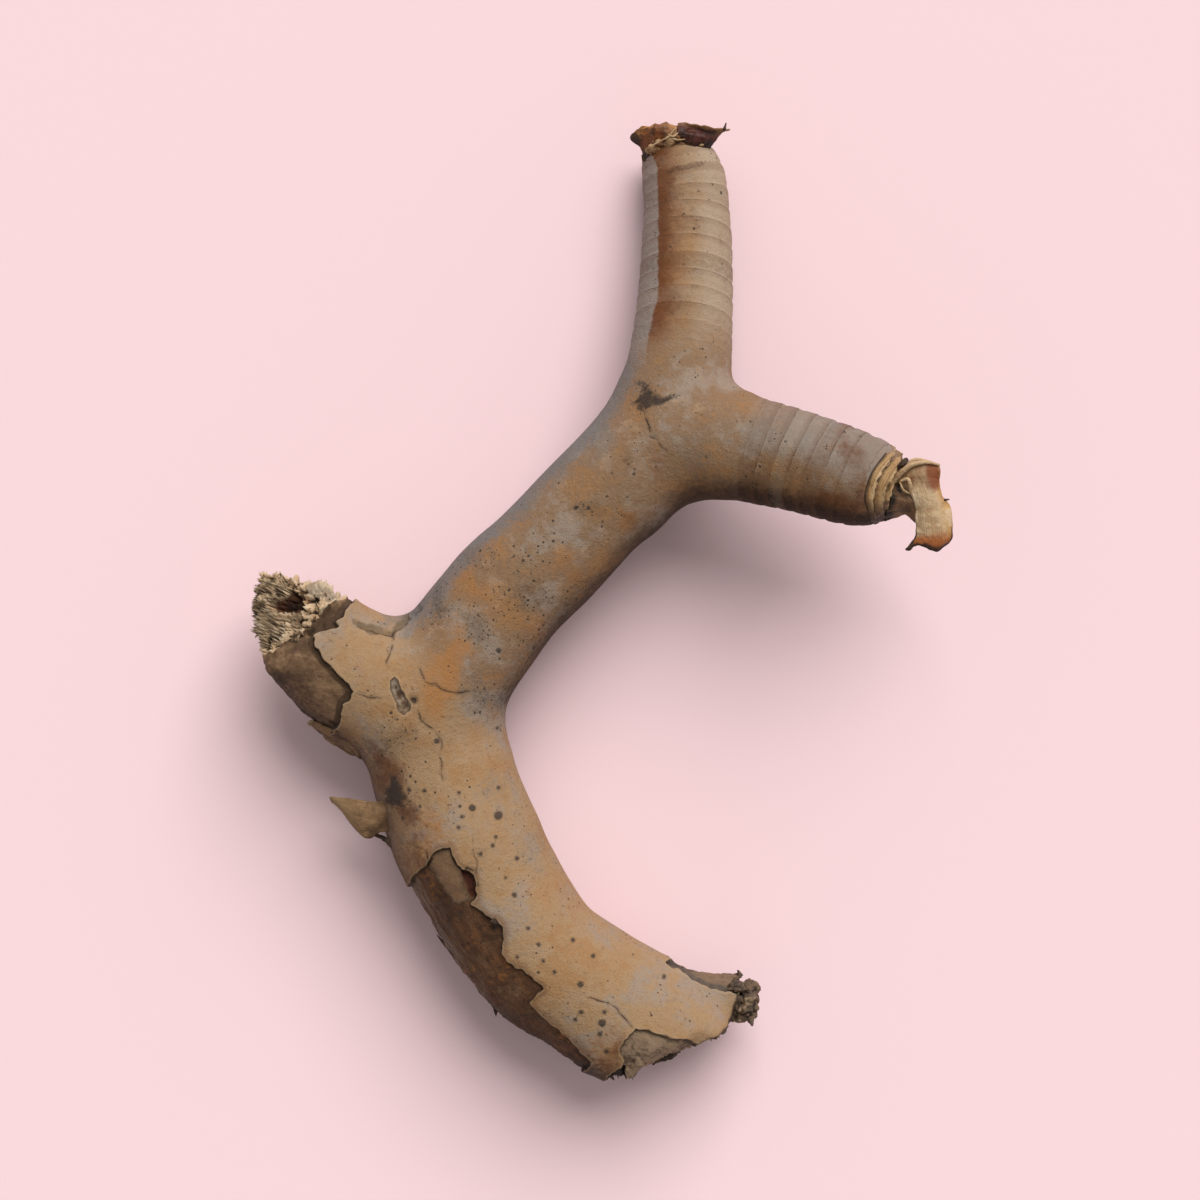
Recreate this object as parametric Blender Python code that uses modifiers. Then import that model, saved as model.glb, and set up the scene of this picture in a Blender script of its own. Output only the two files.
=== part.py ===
"""A dry, dead branch of a thick-stemmed desert tree, lying on the floor.

The branch is one piece of wood and bark: a trunk broken off obliquely at its lower end, a broken stub,
a middle limb that forks into an upper twig and a side twig, and the bark that is left on them.
Each twig ends in the dried bases of its last leaves, which are pieces of their own.

+X runs towards the side twig, +Y along the upper twig and +Z up from the floor.
The origin is the middle of the branch's outline, on the floor. Lengths are in millimetres until a mesh
is made.
"""

import bmesh
import bpy
import numpy as np
from mathutils import Matrix

MM = 0.001

# The branch's limbs, each a list of places along its middle: x, y, z and the radius there.
TRUNK = [
    (-84, -46, 39, 30),
    (-86, -62, 36.5, 34),
    (-80.5, -80, 36, 36.3),
    (-74.5, -100, 37.5, 36.2),
    (-67, -120, 38.5, 37),
    (-56.5, -141, 38.5, 36),
    (-43.5, -163, 37.8, 36),
    (-28.5, -181, 37, 35.5),
    (-8, -195, 35, 35),
    (8, -206, 34, 35),
    (24, -214, 34.5, 32),
    (42, -222, 35, 27),
]
MIDDLE_LIMB_AND_UPPER_TWIG = [
    (-86, -56, 40, 29),
    (-76, -36, 41, 32.5),
    (-68, -25, 42, 32),
    (-48, 1, 43, 31),
    (-25, 24, 44, 30),
    (-2.5, 47.5, 45, 29.7),
    (10, 59, 45, 30.5),
    (20, 71, 45, 30),
    (29, 85, 44, 28.5),
    (35, 99, 43, 27.5),
    (39.5, 115, 41, 26),
    (41.7, 135, 37, 24.6),
    (43.2, 156, 32.5, 23.5),
    (44, 177, 28, 22.7),
    (44, 198, 23.5, 21.5),
    (42.7, 211, 21, 21),
    (39.7, 223, 20, 18.5),
]
SIDE_TWIG = [
    (38, 81, 47, 24),
    (47, 79, 50, 28),
    (60, 78, 55, 28.5),
    (70, 75.5, 58, 26.5),
    (80, 73, 61, 25.7),
    (99, 68, 67, 24.7),
    (118, 62, 73, 23.4),
    (126, 59, 75.5, 22.3),
    (133, 56, 78, 20),
]
STUB = [
    (-88, -50, 41, 30),
    (-107, -45, 43, 32.5),
    (-121, -38, 45, 32.8),
    (-131, -31, 47, 31),
    (-140, -23, 50, 29),
    (-152, -14, 53, 28),
    (-164, -5, 53.5, 28),
]
TAIL = [
    (8, -201, 34, 28),
    (26, -205, 31, 23),
    (46, -205, 28, 17),
    (62, -203.5, 26, 13),
    (75, -201, 27, 9.7),
]

# Broken and rounded ends: the way each faces, a place on it, its rounding and how rough the break is.
TRUNK_BREAK = ((0.40, -0.90, 0.15), (28, -228, 52), 3, 2.5)
STUB_BREAK = ((-0.55, 0.35, 0.75), (-154.5, -7, 63), 4, 3.5)
STUB_SIDE_BREAK = ((-0.98, -0.15, 0.0), (-174.5, -8, 40), 5, 1.5)
UPPER_TIP = ((0.0, 1.0, 0.0), (40, 233, 20), 8, 0.0)
SIDE_TIP = ((0.90, -0.34, 0.29), (142, 54, 81), 8, 0.0)

# Each limb with the reach of its fillet to the limbs before it, and its ends.
LIMBS = [
    (TRUNK, 0, [TRUNK_BREAK]),
    (MIDDLE_LIMB_AND_UPPER_TWIG, 14, [UPPER_TIP]),
    (STUB, 17, [STUB_BREAK, STUB_SIDE_BREAK]),
    (SIDE_TWIG, 14, [SIDE_TIP]),
    (TAIL, 5, [TRUNK_BREAK]),
]

# The bare wood where bark has come away, as outlines seen from above, and how deep each lies.
STUB_BARE = [
    (-180, 20), (-98, 20), (-96, -11), (-102, -17), (-115, -14), (-121, -11), (-124, -8), (-130, -11),
    (-134, -15), (-140, -18), (-139, -25), (-135, -31), (-128, -38), (-121, -45), (-124, -49), (-127, -51),
    (-129, -62), (-150, -78), (-190, -50),
]
TRUNK_BARE = [
    (-110, -117), (-98, -119), (-81, -122), (-75, -121), (-72, -124), (-69, -132), (-62, -133), (-62, -142),
    (-60, -150), (-50, -158), (-49, -175), (-36, -184), (-29, -190), (-35, -197), (-34, -207), (-22, -215),
    (-3, -228), (-20, -250), (-70, -215), (-110, -150),
]
END_BARE = [(11, -205), (5, -220), (9, -223), (30, -219), (40, -216), (27, -211), (16, -208)]
BARK_DEPTH = 2.0

# The worn knot in the crook, and the pith hole in the stub's broken face: place, radius and depth.
KNOT = ((-97, -48, 70), 7, 2)
PITH_HOLE = ((-158, -1, 66), 8, 6)

# Bark that has curled away from the trunk, as rows of places from its root to its tip.
CURLED_BARK = [
    [(-99, -98, 50), (-98, -107, 50), (-97, -117, 46)],
    [(-110, -100, 54), (-109, -108, 55), (-108, -115, 51)],
    [(-120, -99, 54), (-119, -107, 55), (-117, -117.5, 51)],
    [(-134, -97.5, 50), (-133, -98.5, 50), (-132, -99.5, 50)],
]
CURLED_BARK_THICKNESS = 1.4

# The dried bases of the last leaves, each a sheet through rows of places, root first.
TOP_AMBER_LEAF_BASE = [
    [(22, 226, 25.5), (27.5, 226.5, 33.5), (32.5, 230.5, 34), (38, 234, 33)],
    [(18.5, 231, 27), (25, 233, 36), (31, 235.5, 38), (37.5, 237.5, 37)],
    [(14.6, 236, 26), (19.5, 239.7, 32), (29, 241.7, 35), (37, 241.3, 35)],
]
TOP_DARK_LEAF_BASE = [
    [(40.5, 234, 34), (44.5, 232.3, 35), (49, 230.5, 33), (53.5, 229, 28.5)],
    [(40.5, 237.5, 38), (46.5, 236.5, 39), (53, 235, 36.5), (59, 234.5, 31)],
    [(39.7, 241.2, 35.5), (47, 240.5, 36), (56, 240.3, 34), (64.7, 241, 30.5)],
]
SIDE_DRY_LEAF = [
    [(140, 63, 84), (140, 57, 85), (140, 50, 84), (139, 45, 81)],
    [(149, 69, 88), (149, 60, 90), (148, 50, 87), (145, 42.5, 82)],
    [(157, 68.5, 91), (156.5, 60, 94), (154.5, 50, 91), (150, 41, 84)],
    [(163.5, 65.5, 91), (162, 55, 94), (157.5, 46, 93), (152.3, 38, 88)],
    [(164.5, 54, 90), (163, 47, 93), (158.5, 40, 93), (152.5, 34.5, 90)],
    [(170, 44, 88), (165, 38, 91), (158.5, 34, 91.5), (152.3, 31, 89)],
    [(171, 31, 86), (164, 23.5, 87), (156.5, 25, 88.5), (149, 25, 86)],
]

# The sheaths of older leaves round the side twig's tip, as rows of places on the wood from the edge
# that grips it to the loose one, and how far each row stands off the wood.
SIDE_LEAF_SHEATH = [
    [(137.5, 70, 78), (136, 67, 90), (132, 61, 98), (129, 53, 100), (128.5, 47, 97), (132, 40, 88),
     (135, 37, 78)],
    [(140.5, 68, 78), (139, 65, 88), (136, 60, 95), (133.5, 53, 97), (132.5, 47, 94), (135, 41, 87),
     (137, 39, 78)],
    [(142, 67.5, 78), (141, 64, 87), (140, 59, 93), (138.5, 53, 96), (136.5, 46, 93), (137, 41, 86),
     (138, 39, 78)],
]
SHEATH_STAND_OFF = (0.9, 1.2, 1.6)
LEAF_THICKNESS = 1.0
SHEET_STEPS = 3
SEAT_GAP = 0.3

# Leaf scars ring both twigs, by the limb's number in the list above: where they start along the limb,
# how far apart they are and how deep.
RINGS = {1: (205, 9.5, 0.6), 3: (28, 8.2, 0.8)}
RING_WIDTH = 0.13
RING_SWELLING = 0.35

# Unevenness, each with its height, its size and the seed of its random values.
GROWTH_LUMPS = [(0.7, 38, 3), (0.3, 13, 4)]
RING_WANDER = (0.35, 45, 5)
RAGGED_EDGE = (1.6, 7, 6)
BREAK_LUMPS = [(0.6, 9, 7), (0.4, 4, 8)]
EDGE_WIDTH = 1.5

# The mesh: steps along a limb, the size of the even mesh and the share of faces that is kept.
PATH_STEP = 3.0
EVEN_MESH = 2.4
KEPT_FACES = 0.145
SETTLING_ROUNDS = 5
LONGEST_MOVE = 6.0

# A dome on a tube's end: how far out each of its places is and how wide, as shares of the radius.
DOME = [(0.5, 0.87), (0.85, 0.53)]

# How many random values the lumps are made from.
RANDOM_VALUES = 4096

FLOOR_SLAB = (0.7, 0.7, 0.04)

BARK_COLOUR = (0.32, 0.22, 0.14)
AMBER_LEAF_COLOUR = (0.20, 0.06, 0.015)
DARK_LEAF_COLOUR = (0.09, 0.025, 0.012)
SHEATH_COLOUR = (0.36, 0.25, 0.15)
CREAM_LEAF_COLOUR = (0.50, 0.35, 0.20)

# The middle of the branch's outline in the coordinates above, moved to the origin at the end.
OUTLINE_MIDDLE = (-1.2, 0.2)


def clear_scene():
    for thing in list(bpy.data.objects):
        bpy.data.objects.remove(thing, do_unlink=True)


def new_collection(name):
    collection = bpy.data.collections.new(name)
    bpy.context.scene.collection.children.link(collection)
    return collection


def new_material(name, colour, roughness):
    material = bpy.data.materials.new(name)
    material.use_nodes = True
    shader = material.node_tree.nodes["Principled BSDF"]
    shader.inputs["Base Color"].default_value = (*colour, 1)
    shader.inputs["Roughness"].default_value = roughness
    return material


def smooth_curve(knots, counts):
    """Places along a smooth curve through the knots, with the given number for each stretch between
    two knots: a cubic whose slope at a knot is half the way from the knot before to the one after."""
    padded = np.concatenate([2 * knots[:1] - knots[1:2], knots, 2 * knots[-1:] - knots[-2:-1]])
    places = []
    for before, start, end, after, count in zip(padded, padded[1:], padded[2:], padded[3:], counts):
        for t in np.arange(count) / count:
            bend = before - 2.5 * start + 2 * end - 0.5 * after
            twist = 1.5 * (start - end) + 0.5 * (after - before)
            places.append(start + 0.5 * t * (end - before) + t**2 * bend + t**3 * twist)
    return np.array(places + [knots[-1]])


def smooth_path(places):
    """Points and radii about every PATH_STEP along a limb."""
    knots = np.array(places, float)
    lengths = np.linalg.norm(np.diff(knots[:, :3], axis=0), axis=1)
    return smooth_curve(knots, np.maximum(2, np.round(lengths / PATH_STEP)).astype(int))


def lumps(points, height, size, seed):
    """Smooth random heights, up and down: random values on a grid, blended between a cell's corners."""
    values = np.random.default_rng(seed).uniform(-1, 1, RANDOM_VALUES)
    cell = np.floor(points / size).astype(np.int64)
    inside = points / size - cell
    inside = inside * inside * (3 - 2 * inside)
    rise = np.zeros(len(points))
    for corner in np.ndindex(2, 2, 2):
        x, y, z = (cell + corner).T
        share = np.where(np.array(corner) == 1, inside, 1 - inside).prod(axis=1)
        rise += share * values[(x * 73856093 ^ y * 19349663 ^ z * 83492791) % RANDOM_VALUES]
    return height * rise


def soft_least(a, b, reach):
    """The lesser of two distances, rounded where they are nearer to each other than the reach.
    Gives the rounded value and the share of b in it."""
    if not reach:
        return np.minimum(a, b), (b < a).astype(float)
    share = np.clip(0.5 + 0.5 * (a - b) / reach, 0, 1)
    return a * (1 - share) + b * share - reach * share * (1 - share), share


def limb_distance(points, path):
    """Each point's distance to a tapering limb, the way straight out from the limb's middle, and how far
    along the limb its nearest place is."""
    start, end = path[:-1], path[1:]
    run = (end - start)[:, :3]
    length = np.linalg.norm(run, axis=1)
    travelled = np.concatenate([[0], np.cumsum(length)])
    distance = np.empty(len(points))
    outward = np.empty_like(points)
    along = np.empty(len(points))
    for first in range(0, len(points), 4000):
        some = points[first : first + 4000]
        share = np.einsum("pkc,kc->pk", some[:, None] - start[:, :3], run) / length**2
        share = np.clip(share, 0, 1)
        away = some[:, None] - start[:, :3] - share[..., None] * run
        gap = np.linalg.norm(away, axis=2)
        outside = gap - start[:, 3] - share * (end - start)[:, 3]
        nearest = outside.argmin(axis=1)
        row = np.arange(len(some))
        distance[first : first + 4000] = outside[row, nearest]
        outward[first : first + 4000] = away[row, nearest] / gap[row, nearest, None]
        along[first : first + 4000] = travelled[nearest] + share[row, nearest] * length[nearest]
    return distance, outward, along


def depth_inside(points, outline):
    """How far each point lies inside an outline seen from above, negative outside it."""
    corner = np.array(outline, float)
    edge = np.roll(corner, -1, axis=0) - corner
    offset = points[:, None, :2] - corner
    share = np.clip((offset * edge).sum(axis=2) / (edge**2).sum(axis=1), 0, 1)
    gap = np.linalg.norm(offset - share[..., None] * edge, axis=2).min(axis=1)
    y = points[:, None, 1]
    spans = (corner[:, 1] > y) != ((corner + edge)[:, 1] > y)
    slope = edge[:, 0] / np.where(edge[:, 1] == 0, 1, edge[:, 1])
    crossed = spans & (points[:, None, 0] < corner[:, 0] + (y - corner[:, 1]) * slope)
    return np.where(crossed.sum(axis=1) % 2 == 1, gap, -gap)


def rings(along, wander, start, spacing, depth):
    """Leaf scars round a twig: a narrow groove every spacing, below a slight swelling."""
    turn = (along - start) / spacing + wander
    place = turn - np.floor(turn)
    groove = np.exp(-((np.minimum(place, 1 - place) / RING_WIDTH) ** 2))
    return np.where(along > start, depth * (RING_SWELLING * place - groove), 0)


def dent(points, place, radius, depth):
    """A round dent with a flat floor and soft edges."""
    reach = np.linalg.norm(points - place, axis=1) / radius
    return -depth * np.exp(-(reach**4))


def relief(points, shares, alongs):
    """How far the surface stands above the plain limbs: uneven growth, leaf scars, missing bark,
    the knot and the pith hole."""
    height = sum(lumps(points, *lump) for lump in GROWTH_LUMPS)
    wander = lumps(points, *RING_WANDER)
    for number, ring in RINGS.items():
        height += shares[number] * rings(alongs[number], wander, *ring)
    ragged = lumps(points, *RAGGED_EDGE)
    for outline in (STUB_BARE, TRUNK_BARE, END_BARE):
        height -= BARK_DEPTH * np.clip((depth_inside(points, outline) + ragged) / EDGE_WIDTH, 0, 1)
    return height + dent(points, *KNOT) + dent(points, *PITH_HOLE)


def end_distance(points, distance, way, facing, place, rounding, roughness):
    """A limb's distance and way out once its end is broken off, the break's edge rounded."""
    normal = np.array(facing) / np.linalg.norm(facing)
    rough = roughness * sum(lumps(points, *lump) for lump in BREAK_LUMPS)
    beyond = (points - place) @ normal + rough
    least, share = soft_least(-distance, -beyond, rounding)
    return -least, way * (1 - share[:, None]) + normal * share[:, None]


def form_distance(points, paths):
    """Each point's distance to the whole branch, and the way out from it. Each limb in turn is joined
    to those before it, and owns a share of each point by how near it is."""
    whole, way, shares, alongs = None, None, [], []
    for path, (_, reach, ends) in zip(paths, LIMBS):
        distance, outward, along = limb_distance(points, path)
        for end in ends:
            distance, outward = end_distance(points, distance, outward, *end)
        alongs.append(along)
        if whole is None:
            whole, way, shares = distance, outward, [np.ones(len(points))]
            continue
        whole, share = soft_least(whole, distance, reach)
        way = way * (1 - share[:, None]) + outward * share[:, None]
        shares = [earlier * (1 - share) for earlier in shares] + [share]
    return whole - relief(points, shares, alongs), way / np.linalg.norm(way, axis=1)[:, None]


def domed(path):
    """The limb's path with a dome's worth of narrowing places beyond both ends."""
    first, last = path[0], path[-1]
    back = (path[0] - path[1])[:3] / np.linalg.norm((path[0] - path[1])[:3])
    onward = (path[-1] - path[-2])[:3] / np.linalg.norm((path[-1] - path[-2])[:3])
    start = [np.append(first[:3] + back * first[3] * out, first[3] * left) for out, left in DOME]
    end = [np.append(last[:3] + onward * last[3] * out, last[3] * left) for out, left in DOME]
    return np.vstack(start[::-1] + [path] + end)


def limb_tube(path):
    """One limb as a round tube with domed, closed ends."""
    curve = bpy.data.curves.new("limb_guide", "CURVE")
    curve.dimensions = "3D"
    curve.bevel_depth = MM
    curve.bevel_resolution = 6
    curve.use_fill_caps = True
    path = domed(path)
    spline = curve.splines.new("POLY")
    spline.points.add(len(path) - 1)
    spline.points.foreach_set("co", np.c_[path[:, :3] * MM, np.ones(len(path))].ravel())
    spline.points.foreach_set("radius", path[:, 3])
    return bpy.data.objects.new("limb_guide", curve)


def evaluated_mesh(thing, name):
    """The object's mesh as its modifiers leave it."""
    bpy.context.view_layer.update()
    graph = bpy.context.evaluated_depsgraph_get()
    mesh = bpy.data.meshes.new_from_object(thing.evaluated_get(graph))
    mesh.name = name
    return mesh


def points_of(mesh):
    flat = np.empty(len(mesh.vertices) * 3)
    mesh.vertices.foreach_get("co", flat)
    return flat.reshape(-1, 3) / MM


def even_skin(paths, guides):
    """One closed mesh of even faces round all the limbs together."""
    whole = bmesh.new()
    for path in paths:
        tube = limb_tube(path)
        guides.objects.link(tube)
        mesh = evaluated_mesh(tube, "limb_guide")
        whole.from_mesh(mesh)
        bpy.data.objects.remove(tube, do_unlink=True)
        bpy.data.meshes.remove(mesh)
    bmesh.ops.remove_doubles(whole, verts=whole.verts, dist=1e-6)
    joined = bpy.data.meshes.new("limbs")
    whole.to_mesh(joined)
    whole.free()
    skin = bpy.data.objects.new("limbs", joined)
    guides.objects.link(skin)
    remesh = skin.modifiers.new("Even faces", "REMESH")
    remesh.mode = "VOXEL"
    remesh.voxel_size = EVEN_MESH * MM
    mesh = evaluated_mesh(skin, "branch")
    bpy.data.objects.remove(skin, do_unlink=True)
    return mesh


def settled(points, paths, stand_off=0.0):
    """The points moved straight to the given distance from the branch's surface."""
    for _ in range(SETTLING_ROUNDS):
        distance, way = form_distance(points, paths)
        points = points - np.clip(distance - stand_off, -LONGEST_MOVE, LONGEST_MOVE)[:, None] * way
    return points


def boolean(thing, operation, other, name):
    """A Boolean that stays on the object."""
    modifier = thing.modifiers.new(name, "BOOLEAN")
    modifier.operation = operation
    modifier.solver = "EXACT"
    modifier.object = other


def hidden(thing, helpers):
    """Keeps a cutter or a guide out of the part."""
    for collection in list(thing.users_collection):
        collection.objects.unlink(thing)
    helpers.objects.link(thing)
    thing.hide_render = True
    thing.display_type = "WIRE"
    return thing


def sheet(name, rows, thickness):
    """A thin curved sheet: a smooth open surface through rows of places, thickened on both sides."""
    rows = np.array(rows, float)
    longer = smooth_curve(rows, [SHEET_STEPS] * (len(rows) - 1))
    across_first = smooth_curve(longer.swapaxes(0, 1), [SHEET_STEPS] * (rows.shape[1] - 1))
    grid = across_first.swapaxes(0, 1)
    down, across = grid.shape[:2]
    corner = np.arange(down * across).reshape(down, across)
    faces = np.stack([corner[:-1, :-1], corner[1:, :-1], corner[1:, 1:], corner[:-1, 1:]], axis=-1)
    mesh = bpy.data.meshes.new(name)
    mesh.from_pydata(grid.reshape(-1, 3) * MM, [], faces.reshape(-1, 4).tolist())
    thing = bpy.data.objects.new(name, mesh)
    wall = thing.modifiers.new("Thickness", "SOLIDIFY")
    wall.thickness = thickness * MM
    wall.offset = 0
    mesh.shade_smooth()
    return thing


def floor_cutter(cutters):
    """A slab whose top is the floor, to wear the lowest places flat."""
    bpy.ops.mesh.primitive_cube_add(size=1)
    slab = bpy.context.object
    slab.name = "floor_cutter"
    slab.scale = FLOOR_SLAB
    slab.location = (0, 0, -FLOOR_SLAB[2] / 2)
    return hidden(slab, cutters)


def make_branch(paths, parts, cutters):
    """The whole branch: an even skin settled on its form, thinned, with its curled bark, and worn flat
    where it lies."""
    mesh = even_skin(paths, cutters)
    mesh.vertices.foreach_set("co", (settled(points_of(mesh), paths) * MM).ravel())
    mesh.update()
    branch = bpy.data.objects.new("branch", mesh)
    parts.objects.link(branch)
    thin = branch.modifiers.new("Fewer faces", "DECIMATE")
    thin.ratio = KEPT_FACES
    curled = hidden(sheet("curled_bark", CURLED_BARK, CURLED_BARK_THICKNESS), cutters)
    boolean(branch, "UNION", curled, "Curled bark")
    boolean(branch, "DIFFERENCE", floor_cutter(cutters), "Worn flat")
    mesh.materials.append(new_material("Weathered bark", BARK_COLOUR, 0.85))
    mesh.shade_smooth()
    return branch


def seat_cutter(thing, cutters):
    """The thing made larger all round by the gap that a leaf base keeps from it."""
    name = thing.name + "_seat"
    cutter = hidden(bpy.data.objects.new(name, evaluated_mesh(thing, name)), cutters)
    swell = cutter.modifiers.new("Gap", "DISPLACE")
    swell.strength = SEAT_GAP * MM
    swell.mid_level = 0
    return cutter


def make_leaf(name, rows, colour, seats, parts):
    """A dried leaf base whose root is cut to sit on what carries it."""
    leaf = sheet(name, rows, LEAF_THICKNESS)
    parts.objects.link(leaf)
    for seat in seats:
        boolean(leaf, "DIFFERENCE", seat, seat.name)
    leaf.data.materials.append(new_material(name.replace("_", " "), colour, 0.7))
    return leaf


def move_to_origin(collections):
    """Puts the middle of the branch's outline on the origin."""
    move = Matrix.Translation((-OUTLINE_MIDDLE[0] * MM, -OUTLINE_MIDDLE[1] * MM, 0))
    for collection in collections:
        for thing in collection.objects:
            if thing.name != "floor_cutter":
                thing.data.transform(move)


def wrapped(rows, stand_offs, paths):
    """The rows of places laid round the wood, each row at its own distance from it."""
    return [settled(np.array(row, float), paths, away) for row, away in zip(rows, stand_offs)]


def main():
    clear_scene()
    parts = new_collection("dry_branch")
    cutters = new_collection("cutters")
    paths = [smooth_path(places) for places, _, _ in LIMBS]
    branch = make_branch(paths, parts, cutters)
    wood = seat_cutter(branch, cutters)
    make_leaf("top_leaf_base_amber", TOP_AMBER_LEAF_BASE, AMBER_LEAF_COLOUR, [wood], parts)
    make_leaf("top_leaf_base_dark", TOP_DARK_LEAF_BASE, DARK_LEAF_COLOUR, [wood], parts)
    sheath_rows = wrapped(SIDE_LEAF_SHEATH, SHEATH_STAND_OFF, paths)
    sheath = make_leaf("side_leaf_sheath", sheath_rows, SHEATH_COLOUR, [wood], parts)
    seats = [wood, seat_cutter(sheath, cutters)]
    make_leaf("side_dry_leaf", SIDE_DRY_LEAF, CREAM_LEAF_COLOUR, seats, parts)
    move_to_origin((parts, cutters))


main()
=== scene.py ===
"""The dry branch as it looks: weathered bark, bare wood, broken fibrous ends and dried leaf bases.

The branch's form is the same field of joined, tapering limbs as in the CAD, with finer relief on it.
Lengths are in millimetres until a mesh is made, in the CAD's directions: +Y along the upper twig,
+Z up from the floor.
"""

import bmesh
import bpy
import numpy as np
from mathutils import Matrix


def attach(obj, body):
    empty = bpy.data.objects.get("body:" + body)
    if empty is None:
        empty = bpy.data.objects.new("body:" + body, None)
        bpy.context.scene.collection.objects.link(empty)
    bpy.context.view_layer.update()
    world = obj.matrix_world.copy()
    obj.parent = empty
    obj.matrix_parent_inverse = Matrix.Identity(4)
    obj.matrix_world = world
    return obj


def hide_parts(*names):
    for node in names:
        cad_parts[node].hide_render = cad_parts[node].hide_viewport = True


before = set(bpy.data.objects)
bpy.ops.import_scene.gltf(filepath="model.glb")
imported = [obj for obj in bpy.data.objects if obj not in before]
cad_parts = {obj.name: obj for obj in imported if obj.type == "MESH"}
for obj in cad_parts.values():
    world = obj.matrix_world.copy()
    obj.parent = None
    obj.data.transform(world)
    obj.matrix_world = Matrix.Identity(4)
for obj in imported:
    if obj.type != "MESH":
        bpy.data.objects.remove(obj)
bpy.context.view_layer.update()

MM = 0.001

# The limbs' middles: x, y, z and the radius there.
TRUNK = [
    (-84, -46, 39, 30), (-86, -62, 36.5, 34), (-80.5, -80, 36, 36.3), (-74.5, -100, 37.5, 36.2),
    (-67, -120, 38.5, 37), (-56.5, -141, 38.5, 36), (-43.5, -163, 37.8, 36), (-28.5, -181, 37, 35.5),
    (-8, -195, 35, 35), (8, -206, 34, 35), (24, -214, 34.5, 32), (42, -222, 35, 27),
]
MIDDLE_LIMB_AND_UPPER_TWIG = [
    (-86, -56, 40, 29), (-76, -36, 41, 32.5), (-68, -25, 42, 32), (-48, 1, 43, 31), (-25, 24, 44, 30),
    (-2.5, 47.5, 45, 29.7), (10, 59, 45, 30.5), (20, 71, 45, 30), (29, 85, 44, 28.5), (35, 99, 43, 27.5),
    (39.5, 115, 41, 26), (41.7, 135, 37, 24.6), (43.2, 156, 32.5, 23.5), (44, 177, 28, 22.7),
    (44, 198, 23.5, 21.5), (42.7, 211, 21, 21), (39.7, 223, 20, 18.5),
]
SIDE_TWIG = [
    (38, 81, 47, 24), (47, 79, 50, 28), (60, 78, 55, 28.5), (70, 75.5, 58, 26.5), (80, 73, 61, 25.7),
    (99, 68, 67, 24.7), (118, 62, 73, 23.4), (126, 59, 75.5, 22.3), (133, 56, 78, 20),
]
STUB = [
    (-88, -50, 41, 30), (-107, -45, 43, 32.5), (-121, -38, 45, 32.8), (-131, -31, 47, 31),
    (-140, -23, 50, 29), (-152, -14, 53, 28), (-164, -5, 53.5, 28),
]
TAIL = [
    (8, -200, 34, 28), (26, -203.5, 31, 24), (46, -202.5, 28, 18), (62, -200.5, 27, 14.5),
    (75, -198, 27, 11.5),
]

# Broken and rounded ends: the way each faces, a place on it, its rounding and how rough the break is.
TRUNK_BREAK = ((0.447, -0.894, -0.12), (35, -229.5, 45), 3, 2.0)
STUB_BREAK = ((-0.55, 0.35, 0.75), (-154.5, -7, 62), 4, 3.5)
STUB_SIDE_BREAK = ((-0.98, -0.15, 0.0), (-171.5, -8, 40), 5, 1.5)
STUB_TOP_BREAK = ((0.22, 0.97, 0.1), (-154, 11.5, 55), 5, 2.5)
UPPER_TIP = ((0.0, 1.0, 0.0), (40, 233, 20), 8, 0.0)
SIDE_TIP = ((0.90, -0.34, 0.29), (142, 54, 81), 8, 0.0)
TAIL_BREAK = ((0.92, -0.40, -0.05), (68, -202, 35), 2, 1.5)
TAIL_SLANT_BREAK = ((0.74, -0.67, -0.1), (60.5, -214, 35), 2, 1.5)

# Each limb with the reach of its fillet to the limbs before it, and its ends.
LIMBS = [
    (TRUNK, 0, [TRUNK_BREAK, TAIL_BREAK, TAIL_SLANT_BREAK]),
    (MIDDLE_LIMB_AND_UPPER_TWIG, 14, [UPPER_TIP]),
    (STUB, 12, [STUB_BREAK, STUB_SIDE_BREAK, STUB_TOP_BREAK]),
    (SIDE_TWIG, 14, [SIDE_TIP]),
    (TAIL, 5, [TRUNK_BREAK, TAIL_BREAK, TAIL_SLANT_BREAK]),
]

# Where bark has come away or wood lies bare, as outlines seen from above.
STUB_BARE = [
    (-190, 40), (-118, 30), (-122, 1), (-124, -5), (-125, -9), (-130, -10.5), (-127.5, -13), (-134, -14.5),
    (-139, -18), (-138.5, -23), (-136, -27), (-132, -32), (-127.5, -36), (-123, -40.5), (-120, -44.5),
    (-122, -48.5), (-125.5, -51), (-126, -57), (-128.5, -63), (-150, -80), (-195, -50),
]
TRUNK_BARE = [
    (-85, -131), (-83, -125), (-79, -122.5), (-73, -121), (-69.5, -129), (-68, -131.5), (-62, -134.5),
    (-60.5, -146), (-63, -148.5), (-56, -155), (-51.5, -156.5), (-48, -160), (-47.5, -167), (-48.5, -174),
    (-46.5, -178), (-38.5, -180.5), (-28.5, -190.5), (-34, -196.5), (-36, -198), (-28.5, -206), (-19, -213),
    (-4, -228), (-20, -255), (-70, -225), (-105, -160), (-92, -137),
]
GREY_LAYER = [
    (-84, -130), (-83, -125), (-79, -122.5), (-73.5, -121.5), (-70.5, -129), (-68, -133), (-66, -141),
    (-63.5, -147), (-69, -150), (-75, -147), (-80, -139),
]
RED_PIT = [(-68, -132), (-63, -134), (-61.5, -138), (-61, -146), (-64, -147), (-66, -141)]
END_BARE = [
    (17.5, -210.5), (25, -212.5), (31, -214.5), (38, -216), (43, -217), (62, -222), (62, -248), (12, -248),
    (9.5, -234), (13, -227), (9.5, -224), (10, -220),
]
END_CAVITY = [(6, -233), (10, -231), (12.5, -234), (13, -248), (2, -248), (3, -237)]
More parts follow.
